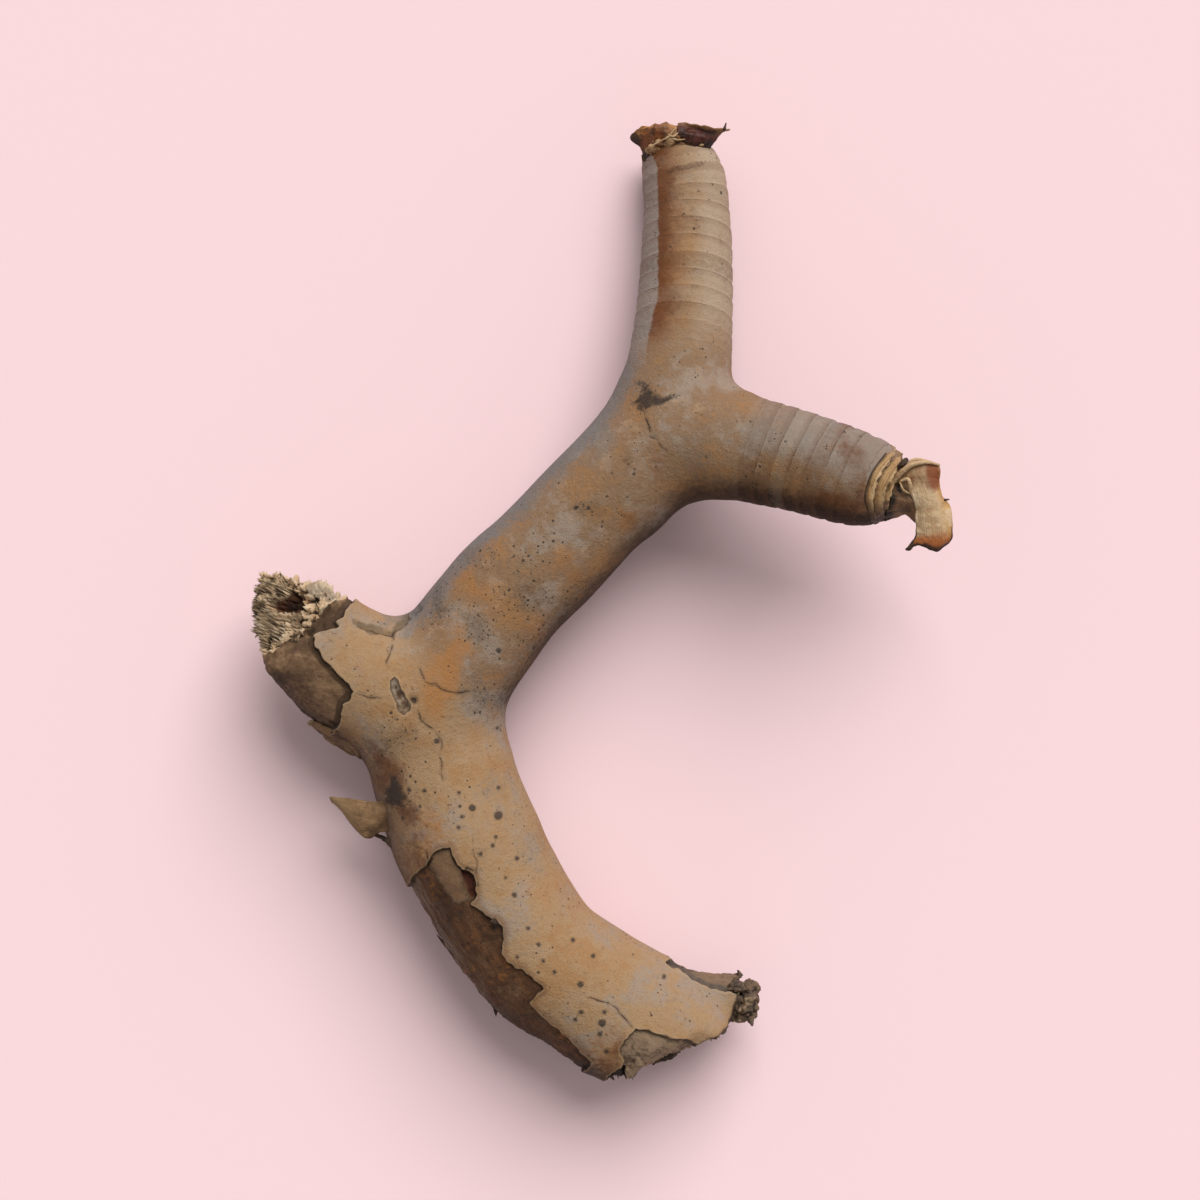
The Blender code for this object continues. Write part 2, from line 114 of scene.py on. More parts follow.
TAIL_HOLLOW = [
    (33.5, -181.5), (41.5, -186.5), (49, -191.5), (54, -194.5), (59.5, -196.5), (70, -197.5), (85, -197),
    (85, -165), (45, -176),
]
KNOT_SCAR = [
    (-103, -39), (-100.5, -36.5), (-98, -39), (-96, -44), (-94, -48), (-92, -51), (-92.5, -54.5),
    (-95.5, -56.5), (-98.5, -54.5), (-101, -49.5), (-103, -44),
]
STUB_HOLLOW = [(-146, -12), (-138, -5), (-129, 0), (-125.5, -4), (-134, -14), (-140, -18), (-145, -19)]
PITH_HOLE = [
    (-163.5, -1), (-154, 5.5), (-151.5, 4.5), (-146, -2.5), (-145, -5), (-151.5, -5.5), (-159, -5.5),
    (-162.5, -4.5),
]
CROOK_GROOVE = [
    (-122, -8.5), (-113, -12), (-103, -14.5), (-99, -10.5), (-95.5, -6.5), (-93.5, -9.5), (-98, -14.5),
    (-102, -18.5), (-113.5, -15.8), (-122, -12),
]
# Where the stub's end is torn into fibres.
STUB_FIBRES = [
    (-190, 40), (-120, 30), (-122, 4), (-131, 0.5), (-137, -6), (-143.5, -11), (-146, -18), (-151, -21),
    (-156, -20), (-161, -25), (-167, -26), (-190, -28),
]
# The strip along the upper twig's left side, painted blue-grey as a reflection of the sky.
SKY_REFLECTION_STRIP = [(5, 105), (20, 105), (24, 130), (28.5, 150), (29.2, 162), (29, 218), (26, 224), (5, 226)]

# Each outline with how far its floor lies below the bark around it and how wide its step is.
OUTLINES = {
    "stub_bare": (STUB_BARE, 2.0, 0.5),
    "trunk_bare": (TRUNK_BARE, 1.8, 0.5),
    "grey_layer": (GREY_LAYER, -0.9, 0.6),
    "red_pit": (RED_PIT, 1.6, 1.2),
    "end_bare": (END_BARE, 2.4, 0.5),
    "end_cavity": (END_CAVITY, 4.0, 1.2),
    "tail_hollow": (TAIL_HOLLOW, 3.2, 1.2),
    "knot_scar": (KNOT_SCAR, 1.4, 1.6),
    "stub_hollow": (STUB_HOLLOW, 3.5, 4.0),
    "pith_hole": (PITH_HOLE, 4.5, 1.4),
    "crook_groove": (CROOK_GROOVE, 1.0, 1.6),
}
CURLED_LIP = (0.6, 1.6)

# Dents, and a knob where the depth is negative: the middle, the radius and the depth.
DENTS = [
    ((-91, -49.2, 75.5), 1.9, 2.6), ((15.5, -233.5, 52), 5, -2.5), ((-143, 4, 62), 5, 2),
    ((-138, 6.5, 58), 2.2, 1.8), ((45, -227, 46), 10, 10), ((45, -227, 30), 10, 10),
    ((45, -227, 14), 10, 10), ((-151, -12, 66), 3, 2), ((-165, -6, 62), 3, 2), ((-158, -18, 62), 4, 2),
    ((-75, -146, 62), 8, 1.5), ((-58, -176, 60), 9, 1.5), ((50, -223, 58), 8, 5), ((41, -227, 56), 9, 6.5),
    ((32, -230.5, 56), 9, 6.5), ((24, -233.5, 54), 6, 4.5), ((-99.5, -41, 75.5), 2.4, -1.0),
    ((-97, -46.5, 75.5), 1.7, 1.4), ((-94.8, -53.5, 75), 2.0, 1.0), ((-96.3, -50.3, 75.3), 1.6, -0.8),
    ((-137, 8.5, 55), 6, -2.2), ((-147.5, 11, 54), 4.5, 3.5),
]

# Cracks in the bark, seen from above, and half of how wide each is.
CRACKS = [
    ([(-121, -44.5), (-113.5, -47), (-103, -47.5)], 0.13),
    ([(-101.5, -15), (-101.5, -19), (-103, -25), (-105, -31), (-103.5, -36)], 0.13),
    ([(-92, -50), (-90, -53), (-88, -58), (-82, -62.5), (-78, -69), (-78, -81), (-77.5, -92)], 0.13),
    ([(-89, -32.5), (-84.5, -39.5), (-78, -43), (-71, -45.5), (-60, -45)], 0.13),
    ([(-96, -55), (-101, -59), (-104, -62)], 0.13),
    ([(-121, -11.5), (-113.5, -15), (-102.5, -18), (-98.5, -14), (-95, -10)], 0.14),
    ([(-139, -58.5), (-134.5, -61), (-129, -64.5)], 0.9),
    ([(-62.5, -112), (-60.5, -130), (-60.5, -141)], 0.08),
    ([(-8, -194.5), (4, -197.5), (10, -203), (17, -210)], 0.13),
    ([(21, 94), (23, 86), (25, 80), (29, 75), (34, 72)], 0.15), ([(-133, -19), (-129, -21)], 0.15),
    ([(-131, -11), (-127, -12.5)], 0.6),
    ([(-96, -119), (-88, -121.5), (-84, -124), (-84.5, -131), (-88, -135)], 0.13),
    ([(19, -225), (17.8, -229), (13.5, -231.5), (10, -231)], 0.45), ([(19.5, -230), (21, -237)], 0.3),
]
CRACK_DEPTH = 1.1

# Dark raised specks on the bark: x, y and radius.
SPECKS = [
    (-49.7, -105.6, 1.9), (-62.5, -101.7, 1.5), (-79.8, -68.8, 1.2), (-49.7, -24.7, 1.1),
    (-85.7, -93.3, 0.9), (-93.3, -93, 0.9), (-69, -94.3, 0.7), (-50, -92.4, 0.7), (-50.5, -63.5, 0.6),
    (-67.4, -106, 0.8), (-69, -111, 0.8), (-40.5, -126.7, 0.9), (-51, -116, 0.7), (-52.4, -120, 0.8),
    (-58.3, -124, 0.9), (-41.7, -144.3, 1.1), (-35, -160.5, 0.8), (-30, -168.6, 0.9), (-27.7, -176.6, 0.8),
    (-40.5, -174.7, 0.7), (-3.3, -175, 0.9), (-13.2, -167, 0.9), (-9.6, -188.4, 1.4), (1, -207.5, 1.8),
    (0, -213, 1.1), (-9.3, -202, 1.0), (-12, -206, 0.8), (2.2, -202, 0.9), (31.6, -187, 0.8),
    (-22.3, -182, 0.9), (3.2, -222, 1.0), (-91, -49.2, 1.5), (-97, -107, 0.6), (-88, -101, 0.6),
    (-60, -139, 0.7), (-46, -136, 0.6),
]

# Stains and tints on the upper side of the bark: x, y, radius and strength.
OCHRE = [
    (-78, -51, 10, 0.9), (-50, -81, 8, 0.7), (-84, -113, 10, 1.0), (-75, -96, 6, 0.6), (-44, -67, 5, 0.6),
    (-14, -137, 14, 0.35), (-30, -145, 12, 0.3), (-71, -31, 11, 1.4), (-72, -48, 10, 0.6),
    (-88, -47, 8, 0.7), (-13, 13, 8, 1.0), (-64, 6, 8, 0.9), (-49, -2, 11, 0.7), (-31, -10, 7, 0.9),
    (12, 40, 7, 0.8), (-27, 52, 8, 0.35), (10, 76, 12, 0.5), (4, 29, 8, 0.3), (35, 66, 9, 0.6),
    (-84, -74, 7, 0.4), (-58, -118, 8, 0.4), (-20, -150, 14, 0.3), (1, -226, 12, 0.9), (5, -170, 16, 0.3),
    (-112, -35, 9, 0.45), (-118, -24, 6, 0.3),
]
RUST = [
    (-106, -84, 10, 0.9), (-102, -100, 9, 0.8), (-70, -133, 8, 0.6), (-94, -115, 8, 0.8),
    (-88, -127, 7, 0.9), (-108, -72, 9, 0.5), (-98, -84, 9, 0.6), (120, 77, 11, 0.9), (122, 49, 11, 0.8),
    (12, 64, 12, 0.35), (-97, -108, 6, 0.5), (5, -224, 8, 0.5), (33, 203, 6, 0.9), (32, 189, 7, 1.0),
    (32, 178, 7, 1.0), (33, 165, 8, 0.9), (35, 150, 6, 0.5), (43, 190, 9, 0.4), (62, 176, 4, 0.5),
    (36, 217, 6, 0.6), (13, 40, 5, 0.5), (95, 52, 14, 0.7), (0, -229, 12, 0.4), (-88, -53, 5, 0.4),
    (75, 55, 9, 0.5), (112, 45, 12, 0.8), (36, 64, 8, 0.6), (125, 62, 6, 0.4), (-12, 12, 5, 0.3),
]
# The grey spots are partly weathering and partly a painted blue-grey reflection of the sky along the limb's
# and upper twig's upper left rims.
GREY = [
    (-74, 19, 12, 0.8), (-59, 34, 11, 0.8), (-39, 52, 11, 0.8), (-19, 71, 12, 0.9), (0, 85, 13, 0.9),
    (-80, -3, 10, 0.8), (-138, 8, 9, 1.2), (-129, 5, 7, 0.9), (-147, 10, 7, 0.8), (-58, -49, 9, 0.7),
    (-52, -96, 11, 0.5), (-34, -123, 14, 0.45), (-106, -93, 9, 0.8), (17, 110, 11, 0.6), (21, 140, 9, 0.6),
    (21, 165, 8, 0.6), (21, 190, 7, 0.8), (22, 212, 6, 0.8), (66, 84, 12, 0.4), (97, 76, 9, 0.4),
    (45, 70, 10, 0.4), (-97, -11, 7, 1.1), (-109, -7, 7, 0.9),
]
CLUSTERS = [
    (-62, -16, 11, 1.0), (-30, 2, 9, 0.7), (-4, 43, 6, 0.9), (17, 71, 6, 0.8), (-7, 6, 7, 0.8),
    (-58, -49, 10, 0.6), (-80, -6, 10, 0.9), (-100, -71, 10, 0.7), (-85, -98, 12, 0.45), (-25, 27, 12, 0.5),
    (-63, 19, 10, 0.6), (-45, 10, 14, 0.5), (27, 99, 6, 0.9), (-35, -20, 9, 0.6), (-95, -60, 9, 0.5),
]
SOOT = [
    (27, 99, 5, 1.0), (33, 101, 4, 0.7), (-106, -88, 5, 0.8), (-103, -96, 4, 0.7), (-98, -50, 3, 0.3),
    (-84, -118, 5, 0.4), (-96, -112, 6, 0.5), (10, -236, 6, 1.3), (-13, -233, 12, 1.0), (-101, -92, 6, 0.9),
    (-97, -101, 5, 0.8), (-106, -100, 6, 0.9), (-96, -9, 4, 0.7), (-89, -126, 4, 0.4), (-62, -16, 8, 0.35),
    (-80, -8, 7, 0.4), (-30, 2, 8, 0.3),
]

# Bark that has curled away from the trunk, as rows of places from its root to its tip.
CURLED_BARK = [
    [(-99, -98, 50), (-98, -107, 50), (-97, -117, 46)],
    [(-110, -100, 54), (-109, -108, 55), (-108, -115, 51)],
    [(-120, -99, 54), (-119, -107, 55), (-117, -117.5, 51)],
    [(-134, -97.5, 50), (-133, -98.5, 50), (-132, -99.5, 50)],
]

# A torn tongue of bark below the stub.
BARK_TONGUE = [
    [(-122, -68, 60), (-120, -74, 54), (-119, -79, 46)],
    [(-133, -63.5, 58), (-133, -67, 54), (-132, -72, 46)],
    [(-140, -60.5, 54), (-142, -61.5, 52), (-141, -64.5, 48)],
    [(-144, -59.5, 52), (-145.5, -60.5, 51), (-144, -62, 50)],
]

# A dark sliver of bark below the curled flake.
DARK_SLIVER = [
    [(-96, -121, 52), (-97, -126, 50), (-97, -132, 44)],
    [(-103, -119.5, 50), (-103, -122, 49), (-101, -127, 45)],
    [(-108.5, -117.8, 47), (-108.5, -118.6, 46.5), (-107.5, -120, 45.5)],
    [(-114, -116.2, 45), (-114, -116.8, 45), (-113.5, -117.4, 45)],
]

# A dark ragged flake below the bare wood of the lower end.
END_FLAKE = [
    [(23, -224, 50), (28, -223, 51), (33, -221, 51), (37, -218.5, 51)],
    [(24.5, -229, 48), (29.5, -228.5, 49), (34.5, -226, 49), (38.5, -222, 49)],
    [(26.8, -232.3, 45), (30.5, -229.8, 46), (35.2, -229.2, 46), (40, -225, 46)],
]

# The crumpled fibres in the broken lower tip: balls, each its middle and how far it reaches, and the depth
# and size of their creases.
FIBRE_LUMPS = [
    ((73.5, -204.5, 32), (5.6, 6.8, 8)), ((75, -196.5, 33), (5, 4.6, 7)),
    ((68.5, -194.5, 37), (3.8, 3.4, 4)), ((70.5, -207.5, 29), (3.6, 5, 6)), ((77, -201, 30), (3.2, 4, 5)),
]
CREASES = [(0.5, 5), (0.4, 2.6), (0.22, 1.3)]

# Splinters that stand out at the edges, each from its foot to its point.
EDGE_SPLINTERS = [
    ((-164, 1, 46), (-172.5, 6, 50)), ((-157, 7.5, 46), (-158.5, 14, 49)),
    ((-166.5, -8, 46), (-173, -6, 47)), ((52, -214, 42), (58, -219, 40)),
    ((60, -209, 38), (66.5, -212.5, 36)), ((56, -212, 40), (61, -217, 38)),
    ((-82, -160, 37), (-86, -152, 38)), ((-77, -174, 37), (-82, -167.5, 37)),
    ((-52.5, -201, 38), (-51.5, -209, 36)), ((-86, -150, 38), (-89.5, -143, 39)),
    ((4, -236, 44), (7, -240.3, 42)), ((14, -236, 46), (17, -240, 44)), ((-68, -122, 72), (-70, -118, 75)),
    ((-63, -133, 74), (-66, -130, 77)), ((-50, -158, 73), (-53.5, -156, 76)),
]
EDGE_SPLINTER_WIDTHS = (1.0, 2.2)
# The splinters that stand on a break: how many, and their least and greatest lengths and half widths.
STUB_SPLINTERS = (170, (1.0, 3.0), (0.35, 0.8))
END_SPLINTERS = (50, (1.5, 3.5), (0.6, 1.2))

# The dried bases of the last leaves, each a sheet through rows of places, root first.
TOP_AMBER_LEAF_BASE = [
    [(23, 222.5, 26), (27.5, 226, 33), (32.5, 229.5, 36), (40.5, 230.5, 37)],
    [(20.5, 229, 27), (26.5, 231.5, 36), (32, 232.5, 39), (40, 233.5, 38.5)],
    [(16.5, 232, 27), (22, 235.5, 34), (30.5, 236.5, 39.5), (39.5, 236.5, 37.5)],
    [(15.5, 234.5, 25), (20, 238.2, 31), (29.5, 239.6, 36), (39.5, 239.2, 34.5)],
]
TOP_AMBER_STAINS = [(17, 233, 3, 1.2), (19, 230, 3, 0.8), (24, 224, 4, 1.0), (31, 235, 3, 0.5)]
TOP_DARK_LEAF_BASE = [
    [(38.5, 230.5, 36), (44.5, 229, 36.5), (49.5, 227.5, 34), (54.3, 226.8, 29)],
    [(38.5, 233.5, 38.5), (46, 233, 38.5), (52, 231.5, 36), (57.5, 231, 31)],
    [(38.8, 236.5, 38.5), (47, 236, 36.5), (55, 234.5, 35), (61.5, 234.8, 32.5)],
    [(39, 239.3, 36), (46, 239.4, 37), (55.5, 237.3, 37.5), (65.5, 236.8, 33)],
]
TOP_DARK_STAINS = [(50, 229, 4, 1.0), (54, 228, 4, 1.2), (41, 236, 3, 0.8)]
SIDE_DRY_LEAF = [
    [(142.5, 59, 88), (149, 65, 93), (156.5, 66, 94), (163.4, 64.8, 91)],
    [(144.5, 56.5, 90), (150.5, 61, 94), (157.5, 62.5, 95), (164, 61, 92)],
    [(149.5, 52, 90), (154, 56, 93), (159, 57, 95), (163.7, 56, 91)],
    [(152.3, 47, 90), (156, 49.5, 93.5), (161, 51, 94.5), (165.3, 50, 91)],
    [(152.8, 42, 89), (157, 43.5, 93), (163, 44.5, 93.5), (168.7, 46, 89)],
    [(152.9, 36.5, 88.5), (157.5, 37, 92), (164, 38, 92.5), (169.7, 40, 88)],
    [(152.8, 31, 87.5), (158, 31, 91), (164.5, 31.5, 91.5), (170.6, 31, 87)],
    [(149, 24.8, 85), (155.5, 26, 89), (162.5, 23.5, 88), (169, 27.5, 86)],
]
SIDE_DRY_STAINS = [
    (161, 62.5, 4, 1.5), (160.5, 57, 3.5, 1.0), (145, 57, 3, 1.2), (150.5, 60, 3, 0.9), (150, 27, 3, 0.6),
    (167, 27, 4, 0.6), (170, 29, 2.5, 1.0),
]
SIDE_INNER_LEAF = [
    [(137.5, 61, 84), (138, 53, 88), (138.5, 44, 86), (138.5, 38.5, 79)],
    [(142.5, 59, 86), (143.5, 51, 89.5), (144, 45, 87), (143.5, 40, 80)],
    [(148, 57, 88), (148.5, 50, 90), (149, 45, 87.5), (148.5, 41.8, 82)],
    [(153, 53, 89), (153.5, 47, 90), (153.5, 42, 88), (153, 37.5, 84)],
]
# Spots of painted shade on the inner leaf, where it lies back behind the cream leaf.
SIDE_INNER_SHADE_SPOTS = [(141, 51, 4, 1.0), (139, 42, 5, 1.0), (147, 56.3, 2, 1.5)]

# The sheaths' rows lie on the twig, from its side to its tip. Each scale starts and ends at a share of the
# way between them, with its tip standing off.
SIDE_LEAF_SHEATH = [
    [(137, 71.5, 76), (135, 68, 89), (131, 62, 97.5), (128, 54, 100), (127.5, 47, 97), (130.5, 40, 89),
     (134, 36.5, 78)],
    [(143.5, 66.5, 78), (143, 62.5, 86), (142.5, 57, 91), (142, 51.5, 93), (141.5, 46, 91), (141.5, 42, 85),
     (142, 40, 79)],
]
SHEATH_SCALES = [(-0.02, 0.3, 1.3), (0.2, 0.72, 2.4), (0.56, 1.15, 3.2)]

# Rolled rims and dry threads, each through places with a radius: pale ones, then dark ones.
PALE_THREADS = [
    [(139.5, 53.5, 89, 0.8), (141.7, 57.4, 91, 1.2), (146, 62, 94, 1.4), (150.3, 65.2, 96, 1.2),
     (157, 66.3, 96, 0.9), (163.5, 65.2, 92.5, 0.6)],
    [(148.5, 65, 93, 0.7), (150, 67, 93.5, 0.8), (153, 67.8, 93.5, 0.8), (158.5, 66.8, 93, 0.6),
     (163.5, 65.2, 91.5, 0.4)],
    [(145, 57.4, 93, 0.5), (148.2, 58.2, 94, 1.0), (149.6, 54.6, 93.2, 0.9), (149.4, 51.7, 90.5, 0.5)],
    [(144.6, 56.6, 93, 0.4), (146.2, 53.2, 92.6, 0.6), (149.3, 51.4, 90.6, 0.4)],
    [(25.5, 226.3, 34, 0.25), (27.5, 228.7, 37, 0.5), (30, 229.8, 38, 0.35), (34.3, 232.4, 40, 0.3)],
    [(31, 230.5, 38, 0.3), (34, 231.7, 40, 0.55), (36, 234, 40.5, 0.4), (38, 236.5, 39.5, 0.3)],
    [(32.5, 229.3, 37, 0.3), (36, 231, 39.5, 0.5), (39, 230.6, 39, 0.4), (42.5, 230.9, 38.5, 0.3)],
    [(34, 233.5, 40, 0.25), (36.5, 232, 40.5, 0.5), (39, 233.8, 40, 0.3)],
]
DARK_THREADS = [
    [(143.5, 63.5, 90, 1.0), (146, 65.6, 92, 1.6), (147.6, 67.4, 91.5, 1.4)],
    [(23.5, 224, 27, 0.8), (22.2, 222.6, 26, 0.9), (21.3, 224.8, 26, 0.4)],
    [(62.5, 236.6, 35, 0.9), (63.4, 239.8, 34, 0.3)],
    [(152, 28.5, 87, 0.9), (150, 25.2, 86, 1.2), (148.7, 24.6, 85, 0.7)],
    [(166.3, 48.3, 91, 0.7), (168.6, 48.6, 90, 0.3)],
]
# The crumpled fibres under the upper tip's leaf bases, as balls.
TIP_FIBRES = [
    ((36, 230.5, 33), (8, 3.6, 5)), ((28.5, 227, 31), (4.5, 2.6, 4)), ((46, 229.3, 31), (7, 2.4, 4)),
]

# Leaf scars: where they start along the limb, how far apart they are and how deep.
UPPER_RINGS = (205, 9.5, 0.55)
SIDE_RINGS = (28, 8.2, 0.75)
RING_WIDTH = 0.11
RING_SWELLING = 0.45

# Unevenness: height, size and the seed of its random values.
GROWTH_LUMPS = [(0.7, 38, 3), (0.3, 13, 4)]
BARE_WOOD_LUMPS = [(0.8, 6, 51), (0.5, 2.6, 52), (0.25, 1.3, 53)]
RING_WANDER = (0.35, 45, 5)
RAGGED_EDGE = [(1.1, 7, 6), (0.6, 2.4, 12)]
SPOT_WARP = [(9, 18, 45), (4, 6, 47)]
BREAK_LUMPS = [(0.6, 9, 7), (0.4, 4, 8)]
CRUMBS = [(1.6, 8, 21), (2.2, 3.6, 22), (1.7, 1.9, 23), (0.7, 1.1, 24)]

# How far apart the places along a limb are, how fine the skin's even mesh is before it is halved near
# edges, and how a limb's dome narrows: its way beyond the last place and what is left of its radius.
PATH_STEP = 4.0
EVEN_MESH = 1.82
SETTLING_ROUNDS = 5
LONGEST_MOVE = 6.0
DOME = [(0.5, 0.87), (0.85, 0.53), (0.99, 0.14)]
RANDOM_VALUES = 4096
CELL_MIXERS = (73856093, 19349663, 83492791)
POINTS_AT_ONCE = 4000
# Past these distances a mark and a crack no longer change anything.
MARK_REACH = 8
FAR_FROM_CRACKS = 50
CRACK_TAPER = 6
# The stub lies left of the first, the broken lower end below the second.
STUB_RIGHT_SIDE = -115
LOWER_END_TOP = -150

# The box's corner at the left of the lower end, on the floor.
NEAREST_CORNER = (-173.5, -241.4, 0)
# The middle of the branch's outline in the coordinates above, moved to the origin.
OUTLINE_MIDDLE = (-1.2, 0.2)


# The form's field


def smooth_curve(knots, counts):
    """Places along a cubic through the knots whose slope at a knot is half the way from the knot before
    to the one after, with the given number of places between each two knots."""
    padded = np.concatenate([2 * knots[:1] - knots[1:2], knots, 2 * knots[-1:] - knots[-2:-1]])
    places = []
    for before, start, end, after, count in zip(padded, padded[1:], padded[2:], padded[3:], counts):
        t = (np.arange(count) / count).reshape(-1, *[1] * (knots.ndim - 1))
        bend = before - 2.5 * start + 2 * end - 0.5 * after
        twist = 1.5 * (start - end) + 0.5 * (after - before)
        places.append(start + 0.5 * t * (end - before) + t**2 * bend + t**3 * twist)
    return np.concatenate(places + [knots[-1:]])


def smooth_path(places):
    """Points and radii about every PATH_STEP along a limb."""
    knots = np.array(places, float)
    lengths = np.linalg.norm(np.diff(knots[:, :3], axis=0), axis=1)
    return smooth_curve(knots, np.maximum(2, np.round(lengths / PATH_STEP)).astype(int))


def lumps(points, height, size, seed):
    """Smooth random heights, up and down: random values on a grid, blended between a cell's corners."""
    values = np.random.default_rng(seed).uniform(-1, 1, RANDOM_VALUES)
    places = points.T / size
    cell = np.floor(places).astype(np.int64)
    inside = places - cell
    inside = inside * inside * (3 - 2 * inside)
    shares = np.stack([1 - inside, inside])
    numbers = np.stack([cell, cell + 1]) * np.array(CELL_MIXERS)[:, None]
    rise = np.zeros(len(points))
    for x, y, z in np.ndindex(2, 2, 2):
        number = (numbers[x, 0] ^ numbers[y, 1] ^ numbers[z, 2]) % RANDOM_VALUES
        rise += shares[x, 0] * shares[y, 1] * shares[z, 2] * values[number]
    return height * rise


def soft_least(a, b, reach):
    """The lesser of two distances, rounded where they are nearer to each other than the reach.
    Gives the rounded value and the share of b in it."""
    share = np.clip(0.5 + 0.5 * (a - b) / reach, 0, 1)
    return a * (1 - share) + b * share - reach * share * (1 - share), share


def limb_distance(points, path):
    """Each point's distance to a tapering limb, the way straight out from the limb's middle, and how far
    along the limb its nearest place is."""
    start, run = path[:-1, :3], np.diff(path[:, :3], axis=0)
    length = np.linalg.norm(run, axis=1)
    travelled = np.concatenate([[0], np.cumsum(length)])
    nearest = np.empty(len(points), int)
    for first in range(0, len(points), POINTS_AT_ONCE):
        now = slice(first, first + POINTS_AT_ONCE)
        some = points[now]
        ahead = some @ run.T - (start * run).sum(axis=1)
        share = np.clip(ahead / length**2, 0, 1)
        apart = (some**2).sum(axis=1)[:, None] + (start**2).sum(axis=1) - 2 * some @ start.T
        gap = np.sqrt(np.maximum(apart - 2 * share * ahead + share**2 * length**2, 0))
        nearest[now] = (gap - path[:-1, 3] - share * np.diff(path[:, 3])).argmin(axis=1)
    offset, run, length = points - start[nearest], run[nearest], length[nearest]
    share = np.clip((offset * run).sum(axis=1) / length**2, 0, 1)
    away = offset - share[:, None] * run
    gap = np.linalg.norm(away, axis=1)
    radius = path[nearest, 3] + share * (path[nearest + 1, 3] - path[nearest, 3])
    ahead = np.gradient(path[:, :3], axis=0)
    passed = (offset * ahead[nearest]).sum(axis=1)
    left = ((path[nearest + 1, :3] - points) * ahead[nearest + 1]).sum(axis=1)
    turned = np.clip(passed / np.where(np.abs(passed + left) < 1e-6, 1e-6, passed + left), -0.5, 1.5)
    return gap - radius, away / gap[:, None], travelled[nearest] + turned * length


def depth_inside(points, outline):
    """How far each point lies inside an outline seen from above, negative outside it."""
    corner = np.array(outline, float)
    edge = np.roll(corner, -1, axis=0) - corner
    offset = points[:, None, :2] - corner
    share = np.clip((offset * edge).sum(axis=2) / (edge**2).sum(axis=1), 0, 1)
    gap = np.linalg.norm(offset - share[..., None] * edge, axis=2).min(axis=1)
    y = points[:, None, 1]
    spans = (corner[:, 1] > y) != ((corner + edge)[:, 1] > y)
    slope = edge[:, 0] / np.where(edge[:, 1] == 0, 1, edge[:, 1])
    crossed = spans & (points[:, None, 0] < corner[:, 0] + (y - corner[:, 1]) * slope)
    return np.where(crossed.sum(axis=1) % 2 == 1, gap, -gap)


def crack_distance(points):
    """Each point's distance to the nearest crack seen from above, signed by the side it lies on, and that
    crack's half width, which tapers to nothing at both ends."""
    nearest = np.full(len(points), float(FAR_FROM_CRACKS))
    width = np.zeros(len(points))
    wander = points[:, :2] + np.c_[lumps(points, 0.9, 4, 31), lumps(points, 0.9, 4, 32)]
    for places, half_width in CRACKS:
        knots = np.array(places, float)
        run = np.diff(knots, axis=0)
        length = np.linalg.norm(run, axis=1)
        offset = wander[:, None] - knots[:-1]
        share = np.clip((offset * run).sum(axis=2) / length**2, 0, 1)
        away = offset - share[..., None] * run
        gap = np.linalg.norm(away, axis=2)
        piece = gap.argmin(axis=1)
        row = np.arange(len(points))
        side = np.sign(run[piece, 0] * away[row, piece, 1] - run[piece, 1] * away[row, piece, 0])
        along = np.concatenate([[0], np.cumsum(length)])[piece] + share[row, piece] * length[piece]
        taper = np.clip(np.minimum(along, length.sum() - along) / CRACK_TAPER, 0, 1)
        uneven = half_width * (0.75 + lumps(points, 0.6, 3, 33))
        near = gap[row, piece] < np.abs(nearest)
        nearest = np.where(near, np.where(side == 0, 1, side) * gap[row, piece], nearest)
        width = np.where(near & (gap[row, piece] < 4), uneven * taper**0.5, np.where(near, 0, width))
    return nearest, width


def patches(points, spots, pulled=1.0):
    """The sum of soft spots seen from above, each its strength times a bell of its radius, their outlines
    pulled about by random heights."""
    pulls = [np.c_[lumps(points, pull * pulled, size, seed), lumps(points, pull * pulled, size, seed + 1)]
             for pull, size, seed in SPOT_WARP]
    points = points[:, :2] + sum(pulls)
    total = np.zeros(len(points))
    for x, y, radius, strength in spots:
        reach = ((points[:, 0] - x) ** 2 + (points[:, 1] - y) ** 2) / radius**2
        total += strength * np.exp(-(reach**1.5))
    return total


def end_distance(points, distance, way, facing, place, rounding, roughness):
    """A limb's distance and way out once its end is broken off, and the break's share of them."""
    normal = np.array(facing) / np.linalg.norm(facing)
    beyond = (points - place) @ normal
    near = np.flatnonzero(beyond > -3 * (rounding + roughness))
    beyond[near] += roughness * sum(lumps(points[near], *lump) for lump in BREAK_LUMPS)
    least, share = soft_least(-distance, -beyond, rounding)
    return -least, way * (1 - share[:, None]) + normal * share[:, None], share


def plain_form(points, paths):
    """Each point's distance to the limbs without their relief, the way out, each limb's share of the
    point, how far along each limb it is, and how much of it is broken face."""
    whole, way, shares, alongs, broken = None, None, [], [], 0
    for path, (_, reach, ends) in zip(paths, LIMBS):
        distance, outward, along = limb_distance(points, path)
        limb_broken = np.zeros(len(points))
        for end in ends:
            distance, outward, share = end_distance(points, distance, outward, *end)
            if end[3]:
                limb_broken = np.maximum(limb_broken, share)
        alongs.append(along)
        if whole is None:
            whole, way, shares, broken = distance, outward, [np.ones(len(points))], limb_broken
            continue
        whole, share = soft_least(whole, distance, reach)
        way = way * (1 - share[:, None]) + outward * share[:, None]
        shares = [earlier * (1 - share) for earlier in shares] + [share]
        broken = broken * (1 - share) + limb_broken * share
    return whole, way / np.linalg.norm(way, axis=1)[:, None], shares, alongs, broken


def settled(points, paths, stand_off=0.0, rounds=SETTLING_ROUNDS):
    """The points moved straight to the given distance from the plain limbs."""
    for _ in range(rounds):
        distance, way, *_ = plain_form(points, paths)
        points = points - np.clip(distance - stand_off, -LONGEST_MOVE, LONGEST_MOVE)[:, None] * way
    return points


# The marks on the wood


def ring_turn(along, wander, start, spacing):
    """How many leaf scars lie between the first one and this place, negative before it."""
    return (along - start) / spacing + wander


